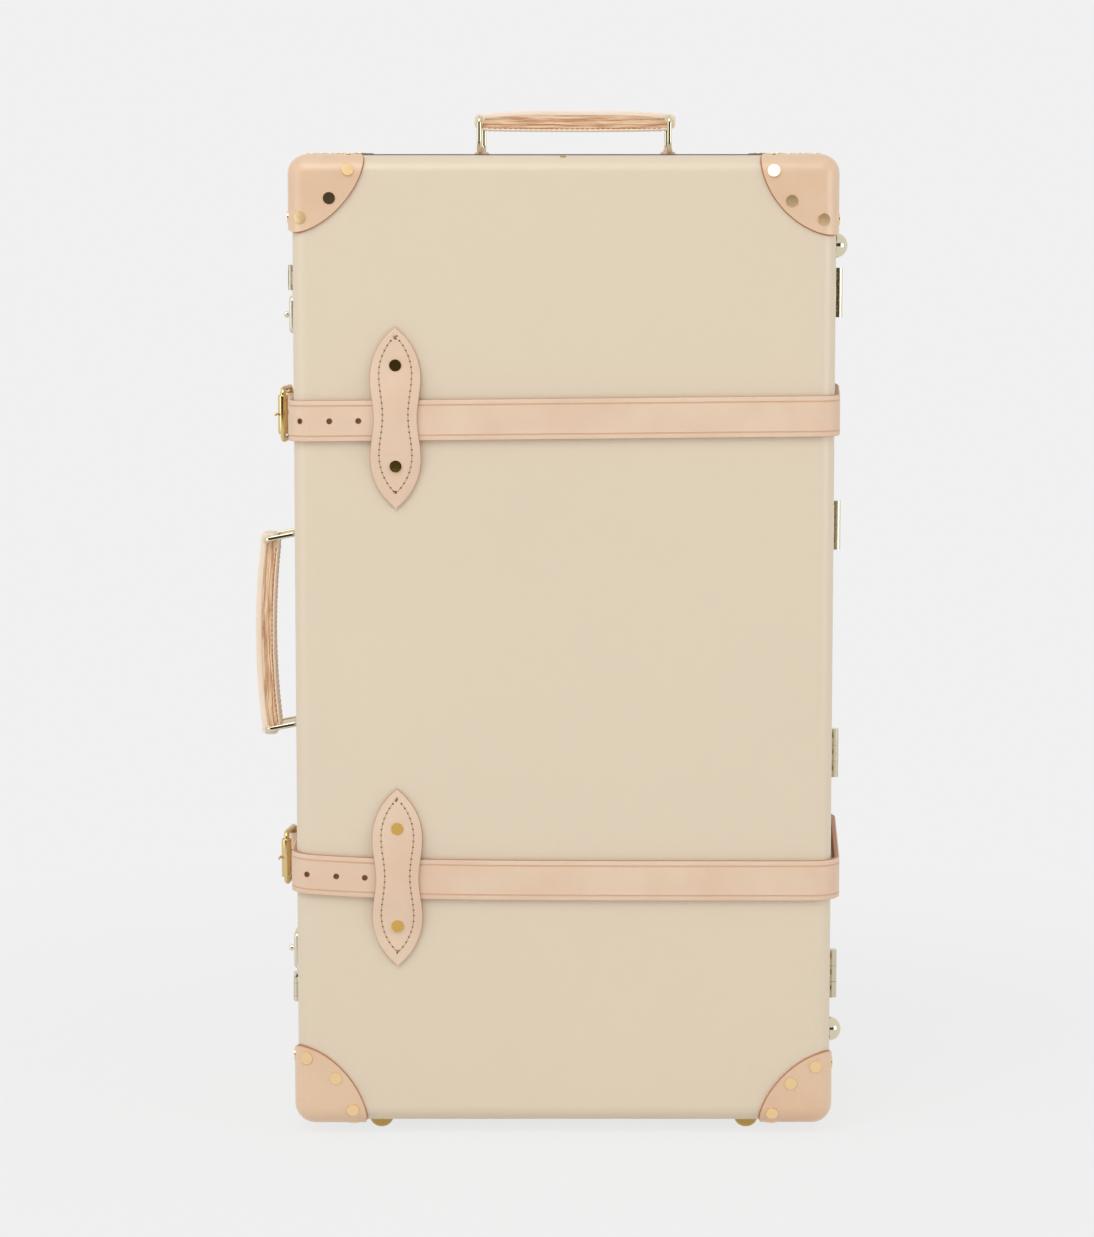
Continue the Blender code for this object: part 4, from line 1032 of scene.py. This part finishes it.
class SUITCASE_OT_straps(bpy.types.Operator):
    """Two straps round the case: creased, punched, folded over the buckles' bars"""

    bl_idname = "suitcase.straps"
    bl_label = "Straps"

    # Numbers of the strap's materials; the edge one is the hide's cut edge and also paints shade
    GRAIN, CUT_EDGE, CREASE, FLESH = range(4)
    # Radius of the fold round the buckle's bar, and the prong's slot in it: half its height and its reach out
    FOLD, SLOT_HALF, SLOT_REACH = 0.0066, 0.0024, 0.0225
    # Where the free end stops behind the seam, and the folded end's slope and the flat tail after it
    FREE_END, SLOPE, TAIL = 0.0389, 0.016, 0.0075
    # Half the stretch across the hinge line, and the radii of the loose turns at the back and the front
    CROSSING, TURN, WIDE_TURN = 0.016, 0.028, 0.020
    # Drift up or down across the case, and the lower strap's on the panel: start, drop and share of the width
    DRIFT = {"upper": 0.0042, "lower": -0.0044}
    START, DROP, SHARE = 0.0019, 0.0063, 0.16
    # Where along the depth the slack is greatest, and the least slack
    PEAK = {"upper": 0.62, "lower": 1.0}
    LEAST = {"upper": 0.0, "lower": 0.0028}
    # Holes: the first one's distance from the panel's middle, their number and the hide left under them
    FIRST_HOLE = {"upper": 0.1642, "lower": 0.1610}
    # The hide left under a hole takes the cut edge finish, painting the hole's shade
    HOLES, HOLE_FLOOR = 6, 0.0005

    def drift(self, level, x, part):
        """How far the strap has wandered up or down from its level, that far across the case."""
        t = min(max((x - LID_LOW.x) / (2 * HALF_WIDTH), 0), 1)
        if level == "lower" and part == "front":
            return self.START - self.DROP * (1 - math.exp(-t / self.SHARE))
        return self.DRIFT[level] * t

    def loose(self, level, y, slack):
        """Distance of the strap's inner face from the hinge side: little at the panel, most at the peak."""
        start, end = FRONT + EDGE_RADIUS, BACK - EDGE_RADIUS
        along, peak, least, soft = (y - start) / (end - start), self.PEAK[level], self.LEAST[level], 0.25
        rise = along / peak
        if peak < 1:
            fall = (1 - along) / (1 - peak)
            rise = min(rise, fall) - max(soft - abs(rise - fall), 0) ** 2 / soft / 4
        return least + (slack - least) * rise

    def leave(self, level, slack, share):
        """Angle in degrees at which the strap leaves a round edge for a peak at that share of the depth."""
        return math.degrees(math.atan((slack - self.LEAST[level]) / share / (BACK - FRONT - 2 * EDGE_RADIUS)))

    def bend(self, level, slack):
        """Turn from the panel to the hinge side: tight round the edge, wider where the strap stands off."""
        angle, turn = self.leave(level, slack, self.PEAK[level]), EDGE_RADIUS + SEAT
        x = LID_HIGH.x - EDGE_RADIUS
        if self.LEAST[level]:
            turn = self.WIDE_TURN
            last = FRONT - SEAT + turn * (1 - math.sin(math.radians(angle)))
            x = self.wall_run(level, last, last, slack, 1)[0][0] - turn * math.cos(math.radians(angle))
        return arc((x, FRONT - SEAT + turn), turn, 270, 360 - angle, 14)

    def wall_run(self, level, first, last, slack, count):
        ys = [first + (last - first) * n / count for n in range(count + 1)]
        return [(LID_HIGH.x + SEAT + self.loose(level, y, slack), y) for y in ys]

    def front_path(self, level, slack):
        left, front, free = LID_LOW.x, FRONT + EDGE_RADIUS, SEAM + self.FREE_END
        wall = [(left - SEAT, free + (front - free) * n / 12) for n in range(12)]
        bend = self.bend(level, slack)
        reach = bend[0][0] - left - EDGE_RADIUS
        panel = [(left + EDGE_RADIUS + reach * n / 40, FRONT - SEAT) for n in range(1, 40)]
        return [
            *wall, *arc((left + EDGE_RADIUS, front), EDGE_RADIUS + SEAT, 180, 270, 12), *panel, *bend,
            *self.wall_run(level, bend[-1][1] + 0.002, SEAM - self.CROSSING, slack, 12)]

    def back_path(self, level, slack):
        bend, back = EDGE_RADIUS + SEAT, BACK - EDGE_RADIUS
        left = LID_LOW.x
        bar = SEAM + BUCKLE_BAR
        ramp = bar + self.FOLD + self.SLOPE
        fold = [
            (left - BUCKLE_BAR_OUT - across, bar - forward)
            for forward, across in arc((0, 0), self.FOLD, -90, 90, 20)]
        folded = STRAP_OUT + SEAT + STRAP_THICKNESS
        outer = left - BUCKLE_BAR_OUT - self.FOLD
        peak = self.PEAK[level]
        if peak < 1:
            angle, centre, turn = self.leave(level, slack, 1 - peak), (LID_HIGH.x - EDGE_RADIUS, back), bend
        else:
            angle, turn = -self.leave(level, slack, peak), self.TURN
            last = BACK + SEAT - turn * (1 - math.sin(math.radians(angle)))
            x = self.wall_run(level, last, last, slack, 1)[0][0] - turn * math.cos(math.radians(angle))
            centre = (x, BACK + SEAT - turn)
        edge = arc(centre, turn, angle, 90, 16)
        return [
            *self.wall_run(level, SEAM + self.CROSSING, edge[0][1] - 0.002, slack, 24), *edge,
            *arc((left + EDGE_RADIUS, back), bend, 90, 180, 12),
            *self.eased((left - SEAT, ramp + 0.004), fold[0], 8), *fold,
            *self.eased((outer, bar + self.FOLD / 2), (left - folded, ramp), 8),
            (left - folded, ramp + self.TAIL)]

    def eased(self, start, end, count):
        """Run that leaves and arrives along the wall."""
        run = []
        for n in range(count):
            t = n / count
            blend = t * t * (3 - 2 * t)
            run.append((start[0] + (end[0] - start[0]) * blend, start[1] + (end[1] - start[1]) * t))
        return run

    def profile(self, crease):
        """Section across the strap: height and distance out, with crease lines and soft edges."""
        half, thick, soft = STRAP_WIDTH / 2, STRAP_THICKNESS, 0.0009
        line, lip, floor, deep = half - crease, 0.0007, 0.0003, 0.0004
        rise = [
            (-half, 0.0002), (-half, thick - soft), (-half + soft * 0.3, thick - soft * 0.3),
            (-half + soft, thick), (-line - lip, thick), (-line - floor, thick - deep),
            (-line + floor, thick - deep), (-line + lip, thick), (-half / 3, thick), (half / 3, thick)]
        return [*rise, *((-h, o) for h, o in reversed(rise[:8])), (half - 0.0004, 0.0), (-half + 0.0004, 0.0)]

    def swept(self, path, level, part, crease):
        """Strap along a plan path, outward to the right of the way the path runs."""
        section = self.profile(crease)
        rows = []
        for n, (x, y) in enumerate(path):
            ahead, behind = path[min(n + 1, len(path) - 1)], path[max(n - 1, 0)]
            way = Vector((ahead[0] - behind[0], ahead[1] - behind[1])).normalized()
            height = STRAP_HEIGHTS[level] + self.drift(level, x, part)
            rows.append([(x + way.y * out, y - way.x * out, height + up) for up, out in section])
        points, faces = grid(rows, closed_columns=True)
        sides = {0, 1, len(section) - 4, len(section) - 3, len(section) - 1}
        creases = {4, 5, 6, len(section) - 10, len(section) - 9, len(section) - 8}
        numbers = []
        for n in range(len(faces)):
            row, column = divmod(n, len(section))
            # Off the hinge side, the strap's inner face takes the edge finish as painted shade; elsewhere it
            # shows the pale flesh
            if column == len(section) - 2:
                numbers.append(self.CUT_EDGE if path[row][0] > LID_HIGH.x else self.FLESH)
            # The crease grooves take the darker crease finish as painted shade
            elif column in creases:
                numbers.append(self.CREASE)
            else:
                numbers.append(self.CUT_EDGE if column in sides else self.GRAIN)
        faces += [list(range(len(section))), list(range(len(points) - len(section), len(points)))]
        return points, faces, numbers + [self.CUT_EDGE, self.CUT_EDGE]

    def holes(self, path, level, sizes):
        """Round cutters into the strap, at equal steps back from the hole nearest the panel's middle."""
        cutters = Shape()
        radius, floor, high = sizes.hole / 2, self.HOLE_FLOOR, 2 * STRAP_THICKNESS
        punch = turned([(0, floor), (radius, floor), (radius, high), (0, high)], 24)
        first, remaining, count = MIDDLE_X - self.FIRST_HOLE[level], None, 0
        run = [Vector((x, y, 0)) for x, y in reversed(path)]
        for here, there in zip(run, run[1:]):
            way = there - here
            depth = (here.y + there.y) / 2
            bent = FRONT - SEAT + 1e-5 < depth < FRONT + EDGE_RADIUS
            length = way.length * (1 + STRAP_THICKNESS / 2 / EDGE_RADIUS * bent)
            if remaining is None:
                if bent or there.x > first:
                    continue
                remaining = here.x - first
            while remaining <= length and count < self.HOLES:
                spot = here + way * (remaining / length)
                spot.z = STRAP_HEIGHTS[level] + self.drift(level, spot.x, "front")
                cutters.add(punch, facing(spot, (-way.y, way.x, 0)))
                remaining, count = remaining + sizes.hole_pitch, count + 1
            remaining -= length
        return cutters

    def execute(self, context):
        look, sizes = finish_materials(), context.scene.suitcase_sizes
        leather = [look["leather"], look["edge"], look["crease"], look["flesh"]]
        for level, height in STRAP_HEIGHTS.items():
            slack = getattr(sizes, f"{level}_slack")
            path = self.front_path(level, slack)
            shape = Shape().add(self.swept(path, level, "front", sizes.crease))
            front = show(f"{level}_strap_lid", shape, leather, "lid", [f"{level}_strap_front"], 35)
            cut(front, self.holes(path, level, sizes))
            crossing = self.wall_run(level, SEAM - self.CROSSING, SEAM + self.CROSSING, slack, 16)
            shape = Shape().add(self.swept(crossing, level, "back", sizes.crease))
            middle = show(f"{level}_strap_crossing", shape, leather, None, (), 35)
            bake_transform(middle)
            shape = Shape().add(self.swept(self.back_path(level, slack), level, "back", sizes.crease))
            back = show(f"{level}_strap_base", shape, leather, "base", [f"{level}_strap_back"], 35)
            wall, out = LID_LOW.x, LID_LOW.x - self.SLOT_REACH
            near, far = SEAM + BUCKLE_BAR - 2 * self.FOLD, SEAM + BUCKLE_BAR + self.FOLD
            outline = [(wall, near), (out, near), (out, far), (wall, far)]
            cut(back, Shape().add(slab(outline, height - self.SLOT_HALF, height + self.SLOT_HALF)))
        return {"FINISHED"}


class SUITCASE_OT_keepers(bpy.types.Operator):
    """Pointed leather keepers over the straps, stitched and studded"""

    bl_idname = "suitcase.keepers"
    bl_label = "Keepers"

    LENGTH, THICKNESS = 0.1444, 0.0027
    # Half widths at the lobes and the waist, and the lobes' distance from the middle
    LOBE, WAIST, LOBE_AT = 0.02035, 0.01735, 0.032
    # Heights about the keeper's middle: the strap under it, the middle of the stitching, and the studs
    OVER = {"upper": -0.0017, "lower": -0.0007}
    SEAM_LIFT = {"upper": 0.0027, "lower": 0.0015}
    STUDS = {"upper": (0.0423, -0.0383), "lower": (0.0400, -0.0394)}
    # Where the hide starts down beside the strap and over what length: its outer face, then its inner face
    OUTER_EASE, INNER_EASE = (-0.004, 0.038), (0.0012, 0.006)
    # Distance of the stitching from the edge
    MARGIN = 0.0072
    # Near-black caps that paint the shade of the pricked holes
    PRICK_SHADE = turned([(0.0009, -0.0003), (0.00075, 0.00006), (0, 0.0001)], 10)

    def half(self, along):
        beyond = abs(along) - self.LOBE_AT
        if beyond <= 0:
            return self.WAIST + (self.LOBE - self.WAIST) * (1 - math.cos(math.pi * along / self.LOBE_AT)) / 2
        reach = self.LENGTH / 2 - self.LOBE_AT
        radius = (reach ** 2 + self.LOBE ** 2) / (2 * self.LOBE)
        return max(self.LOBE - radius + math.sqrt(radius ** 2 - beyond ** 2), 0.0003)

    def rise(self, along, over, start, length):
        """How far the hide stands off the panel: up over the strap, easing down beside it over a length."""
        blend = min(max((abs(along - over) - STRAP_WIDTH / 2 - start) / length, 0), 1)
        return SEAT + STRAP_OUT * (1 - blend * blend * (3 - 2 * blend))

    def face(self, along, over):
        """Distance of the keeper's outer face from the panel."""
        return self.rise(along, over, *self.OUTER_EASE) + self.THICKNESS

    def body(self, over):
        rows = []
        count, soft = 120, 0.0008
        for n in range(count + 1):
            t = n / count
            along = self.LENGTH / 2 * -math.cos(math.pi * t) * 0.35 + self.LENGTH / 2 * (2 * t - 1) * 0.65
            half, face = self.half(along), self.face(along, over)
            seat, trim = self.rise(along, over, *self.INNER_EASE), min(soft, half * 0.45)
            ring = [
                (-half, seat), (-half, face - trim), (-half + 0.3 * trim, face - 0.3 * trim),
                (-half + trim, face), (-half / 3, face)]
            ring = [*ring, *((-x, out) for x, out in reversed(ring))]
            rows.append([(x, -out, along) for x, out in ring])
        points, faces = grid(rows, closed_columns=True)
        across = len(rows[0])
        numbers = [int(n % across in (0, 1, across - 3, across - 2)) for n in range(len(faces))]
        faces += [list(range(across)), list(range(len(points) - across, len(points)))]
        return points, faces, numbers + [1, 1]

    def seam(self, margin):
        """Line of stitching down one side, a margin in from the outline, from point to point."""
        steps = 400
        outline = [Vector((self.half(a), a)) for a in
                   (self.LENGTH / 2 * (2 * n / steps - 1) for n in range(steps + 1))]
        line = []
        for before, after in zip(outline, outline[1:]):
            way = (after - before).normalized()
            spot = (before + after) / 2 + margin * Vector((-way.y, way.x))
            if spot.x > 0.0008:
                line.append(spot)
        return line

    def execute(self, context):
        look, sizes = finish_materials(), context.scene.suitcase_sizes
        dice = random.Random(12)
        for level, over in self.OVER.items():
            low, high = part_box(f"{level}_strap_keeper")
            place = Matrix.Translation(((low.x + high.x) / 2, FRONT, (low.z + high.z) / 2))
            line = [spot + Vector((0, self.SEAM_LIFT[level])) for spot in self.seam(self.MARGIN)]
            shape = Shape().add(self.body(over), place)
            show(f"{level}_keeper", shape, [look["leather"], look["edge"]], "lid",
                 [f"{level}_strap_keeper"], 50)
            stitches, pricks = Shape(), Shape()
            for mirror in (1, -1):
                gone, run = 0.0, []
                for before, after in zip(line, line[1:]):
                    ahead = gone + (after - before).length
                    spot = (mirror * after.x, -self.face(after.y, over), after.y)
                    if int(ahead / sizes.stitch) != int(gone / sizes.stitch):
                        pricks.add(self.PRICK_SHADE, place @ facing(spot, (0, -1, 0)))
                        if len(run) > 4:
                            stitches.add(tube([run[1], run[len(run) // 2], run[-2]], 0.00032, 8), place)
                        run = []
                    run.append(spot)
                    gone = ahead
            for end in (line[0].y, line[-1].y):
                for n in range(5):
                    x, lift = dice.uniform(-0.0013, 0.0013), dice.uniform(-0.0011, 0.0011)
                    spot = Vector((x, -self.face(end, over), end + lift))
                    aside = Vector((dice.uniform(-0.001, 0.001), -0.0002, dice.uniform(-0.001, 0.001)))
                    knot = tube([spot - aside, spot + Vector((0, -0.0003, 0)), spot + aside], 0.00045, 8)
                    # Every other end knot takes the near-black stitch-hole finish, painted shade among the
                    # knots
                    (stitches if n % 2 else pricks).add(knot, place)
            show(f"{level}_keeper_stitches", stitches, [look["thread"]], "lid", (), 60)
            show(f"{level}_keeper_pricks", pricks, [look["prick"]], "lid", (), 60)
            studs = Shape()
            for at in self.STUDS[level]:
                spot = place @ Vector((0, -self.face(at, over), at))
                studs.add(rivet(sizes.stud / 2), facing(spot, (0, -1, 0)) @ tilted(0.6, dice))
            show(f"{level}_keeper_studs", studs, [look["stud"]], "lid", (), 50)
        return {"FINISHED"}


class SUITCASE_OT_buckles(bpy.types.Operator):
    """Wire buckles with their prongs and rollers"""

    bl_idname = "suitcase.buckles"
    bl_label = "Buckles"

    def execute(self, context):
        look = finish_materials()
        half, play = STRAP_WIDTH / 2 + 0.00455, 0.0004
        long, lift, wire, barrel, pin = 0.034, 0.0038, 0.0022, 0.0041, 0.0014
        outline = rounded((-long, -half), (0, half), 0.0045, 0.0024, 8)
        ring = tube([(y * lift / long, y, z) for y, z in outline], wire, 18, True)
        around = wire + play + pin
        over = lift + barrel + play + pin
        slope = [(-around - (over - around) * n / 6, -long * n / 6) for n in range(1, 6)]
        hook = [*arc((0, 0), around, -60, 180, 18), *slope, (-over, -long), (-over, -long - 0.005)]
        prong = tube([(x, y, 0) for x, y in hook], pin, 14, False, 0.75)
        end, bore = 0.016, wire + play
        sleeve = turned([
            (bore, -end), (barrel - 0.0006, -end), (barrel - 0.0001, -end + 0.0004), (barrel, -end + 0.0010),
            (barrel, end - 0.0010), (barrel - 0.0001, end - 0.0004), (barrel - 0.0006, end),
            (bore, end), (bore, -end)], 48)
        for level, height in STRAP_HEIGHTS.items():
            bar = Vector((LID_LOW.x - BUCKLE_BAR_OUT, SEAM + BUCKLE_BAR, height))
            for piece, shape, node, offset in (
                    ("buckle", ring, "frame", (0, 0, 0)), ("prong", prong, "prong", (0, 0, 0)),
                    ("roller", sleeve, "roller", (-lift, -long, 0))):
                made = Shape().add(shape, Matrix.Translation(bar + Vector(offset)))
                show(f"{level}_{piece}", made, [look["gold"]], f"{level}_{piece}",
                     [f"{level}_buckle_{node}"], 50)
        return {"FINISHED"}


class SUITCASE_OT_locks(bpy.types.Operator):
    """Two locks on the left wall: case, sliding button, hasp and its plate"""

    bl_idname = "suitcase.locks"
    bl_label = "Locks"

    # Length of the raised part, travel of the button, and half the width of its slot
    BOSS, TRAVEL, SLOT_HALF = 0.0305, 0.005, 0.0017
    # Thickness, corner radius and roundness of the edge, for the case and for its raised part
    CASE_PLATE, BOSS_PLATE = (0.0043, 0.0035, 0.0016), (0.0066, 0.0045, 0.0026)

    def plate(self, low, high, thick, corner, soft):
        """Cushion-edged plate on the left wall between two corners."""
        middle = (low + high) / 2
        half = (high - low) / 2
        outline = rounded((-half.y, -half.z), (half.y, half.z), corner, None, 6)
        return slab(outline, SEAT, thick, soft, 5), facing((LID_LOW.x, middle.y, middle.z), (-1, 0, 0))

    def execute(self, context):
        look = finish_materials()
        # The second finish, the dark board edge, paints shade on the walls and floor of the button's slot
        metal = [look["satin"], look["board_edge"]]
        for level, up in (("upper", 1), ("lower", -1)):
            low, high = (corner.copy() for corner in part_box(f"{level}_lock_body"))
            low.x = high.x = LID_LOW.x
            shape = Shape().add(*self.plate(low, high, *self.CASE_PLATE))
            if up > 0:
                high.z = low.z + self.BOSS
            else:
                low.z = high.z - self.BOSS
            body = show(f"{level}_lock_case", shape, metal, "base", [f"{level}_lock_body"], 50)
            shape = Shape().add(*self.plate(low, high, *self.BOSS_PLATE))
            boss = show(f"{level}_lock_boss", shape, metal, "base", (), 50)
            button = sum(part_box(f"{level}_lock_button"), Vector()) / 2
            middle = button.z - up * self.TRAVEL / 2
            half, reach = self.SLOT_HALF, self.TRAVEL / 2 + self.SLOT_HALF
            outline = rounded((-half, -reach), (half, reach), 0.0016)
            place = facing((LID_LOW.x, button.y, middle), (-1, 0, 0))
            slot = Shape().add(slab(outline, 0.0012, 0.010), place)
            cut(body, slot)
            cut(boss, slot)
            for piece, edge in (("hasp", 0.0007), ("hasp_plate", 0.0005)):
                paint(f"{level}_{piece}", look["satin"], edge)
            paint(f"{level}_lock_button", look["brass"], 0.0002)
        return {"FINISHED"}


class SUITCASE_OT_stage(bpy.types.Operator):
    """Pale floor, soft light and the camera"""

    bl_idname = "suitcase.stage"
    bl_label = "Stage"

    # Camera: aside from the case's middle, before the seam and above the top, then its tilt, lens and sensor
    ASIDE, BEFORE, ABOVE = -0.0138, 3.261, 0.0200
    TILT, LENS, SENSOR = 83.06, 116.73, 36.0
    # Lamps: place, point that they face and size
    LAMPS = {
        "key": ((-1.2, -2.6, 3.6), (0, 0, 0.4), (3.0, 2.4)),
        "fill_left": ((-2.9, -1.6, 0.7), (0, 0, 0.3), (1.6, 1.6)),
        "fill_right": ((2.9, -1.6, 0.7), (0, 0, 0.3), (1.6, 1.6))}
    # Floor: reach to the sides, to the front and to the back
    FLOOR_SIDE, FLOOR_FRONT, FLOOR_BACK = 7, -4.4, 9

    def floor_material(self, tone, glow):
        """Matt pale ground that runs into the backdrop's tone far from the case."""
        made = bpy.data.materials.new("floor")
        made.use_nodes = True
        tree = Tree(made.node_tree.nodes, made.node_tree.links)
        tree.nodes.clear()
        place = tree.place()
        away = tree.add("ShaderNodeVectorMath", {"operation": "LENGTH"}, {0: place}, "Value")
        base = tree.mix(tree.noise(place, 40.0, 3.0), shade((tone,) * 3, 0.99), rgba((tone,) * 3))
        matt = tree.add(
            "ShaderNodeBsdfPrincipled", None,
            {"Base Color": base, "Roughness": 1.0, "Specular IOR Level": 0.0})
        flat = tree.add("ShaderNodeEmission", None, {"Color": rgba((tone,) * 3), "Strength": 1.0})
        share = self.seen(tree) * (glow + away.step(0.40, 1.2) * (1 - glow))
        mixed = tree.add("ShaderNodeMixShader", None, {0: share, 1: matt, 2: flat})
        tree.add("ShaderNodeOutputMaterial", None, {"Surface": mixed})
        return made

    def seen(self, tree):
        """1 for what the camera, a gloss or a clear piece shows."""
        rays = [tree.add("ShaderNodeLightPath", None, None, name)
                for name in ("Is Camera Ray", "Is Glossy Ray", "Is Transmission Ray")]
        return rays[0].most(rays[1]).most(rays[2])

    def lamp(self, name, at, target, size, power):
        data = bpy.data.lights.new(name, "AREA")
        data.shape, data.size, data.size_y, data.energy = "RECTANGLE", size[0], size[1], power
        lamp = bpy.data.objects.new(name, data)
        lamp.location = at
        lamp.rotation_euler = (Vector(target) - Vector(at)).to_track_quat("-Z", "Y").to_euler()
        bpy.context.scene.collection.objects.link(lamp)

    def ground(self, scene, stage):
        side, front, back = self.FLOOR_SIDE, self.FLOOR_FRONT, self.FLOOR_BACK
        floor = bpy.data.meshes.new("floor")
        floor.from_pydata(
            [(-side, front, 0), (side, front, 0), (side, back, 0), (-side, back, 0)], [], [(0, 1, 2, 3)])
        floor.materials.append(self.floor_material(stage.tone, stage.glow))
        ground = bpy.data.objects.new("floor", floor)
        scene.collection.objects.link(ground)

    def room(self, scene, stage):
        """Even light from all round. A gloss also shows an unlit wall behind the camera."""
        world = bpy.data.worlds.new("room")
        world.use_nodes = True
        scene.world = world
        tree = Tree(world.node_tree.nodes, world.node_tree.links)
        tree.nodes.clear()
        x, y, z = tree.parts(tree.add("ShaderNodeTexCoord", output="Generated"))
        aside = x.maths("ABSOLUTE", x)
        wall = (1 - aside.step(0.62, 0.80)) * z.step(-0.20, -0.09)
        wall = wall * (1 - z.step(0.30, 0.45)) * (-y).step(0.0, 0.2)
        gloss = tree.add("ShaderNodeLightPath", None, None, "Is Glossy Ray")
        room, shown, dark = (
            tree.add("ShaderNodeBackground", None, {"Color": (1, 1, 1, 1), "Strength": strength})
            for strength in (stage.room, stage.tone, stage.tone * (1 - stage.unlit)))
        lit = tree.add("ShaderNodeMixShader", None, {0: self.seen(tree), 1: room, 2: shown})
        whole = tree.add("ShaderNodeMixShader", None, {0: wall * gloss, 1: lit, 2: dark})
        tree.add("ShaderNodeOutputWorld", None, {"Surface": whole})

    def camera(self, scene):
        data = bpy.data.cameras.new("camera")
        data.sensor_fit, data.sensor_height, data.lens = "VERTICAL", self.SENSOR, self.LENS
        camera = bpy.data.objects.new("camera", data)
        camera.location = (MIDDLE_X + self.ASIDE, SEAM - self.BEFORE, TOP + self.ABOVE)
        camera.rotation_euler = (math.radians(self.TILT), 0, 0)
        scene.collection.objects.link(camera)
        scene.camera = camera

    def execute(self, context):
        scene = context.scene
        stage = scene.suitcase_stage
        self.ground(scene, stage)
        self.room(scene, stage)
        for name, (at, target, size) in self.LAMPS.items():
            self.lamp(name, at, target, size, getattr(stage, name))
        self.camera(scene)
        scene.view_settings.view_transform = "Standard"
        return {"FINISHED"}


PIECES = (
    SUITCASE_OT_shells, SUITCASE_OT_corners, SUITCASE_OT_feet, SUITCASE_OT_hinges, SUITCASE_OT_handles,
    SUITCASE_OT_straps, SUITCASE_OT_keepers, SUITCASE_OT_buckles, SUITCASE_OT_locks, SUITCASE_OT_stage)
SETTINGS = {
    "suitcase_finish": SuitcaseFinish, "suitcase_sizes": SuitcaseSizes, "suitcase_stage": SuitcaseStage}


class SUITCASE_PT_panel(bpy.types.Panel):
    """Settings and makers of the suitcase"""

    bl_idname = "SUITCASE_PT_panel"
    bl_label = "Suitcase"
    bl_space_type = "VIEW_3D"
    bl_region_type = "UI"
    bl_category = "Suitcase"

    def draw(self, context):
        for name, group in SETTINGS.items():
            settings = getattr(context.scene, name)
            for field in group.__annotations__:
                self.layout.prop(settings, field)
        for piece in PIECES:
            self.layout.operator(piece.bl_idname)


def register():
    for made in (*SETTINGS.values(), *PIECES, SUITCASE_PT_panel):
        bpy.utils.register_class(made)
    for name, group in SETTINGS.items():
        setattr(bpy.types.Scene, name, bpy.props.PointerProperty(type=group))


def unregister():
    for name in SETTINGS:
        delattr(bpy.types.Scene, name)
    for made in (SUITCASE_PT_panel, *reversed(PIECES), *SETTINGS.values()):
        bpy.utils.unregister_class(made)


def main():
    register()
    for piece in PIECES:
        group, name = piece.bl_idname.split(".")
        getattr(getattr(bpy.ops, group), name)()


if __name__ == "__main__":
    main()
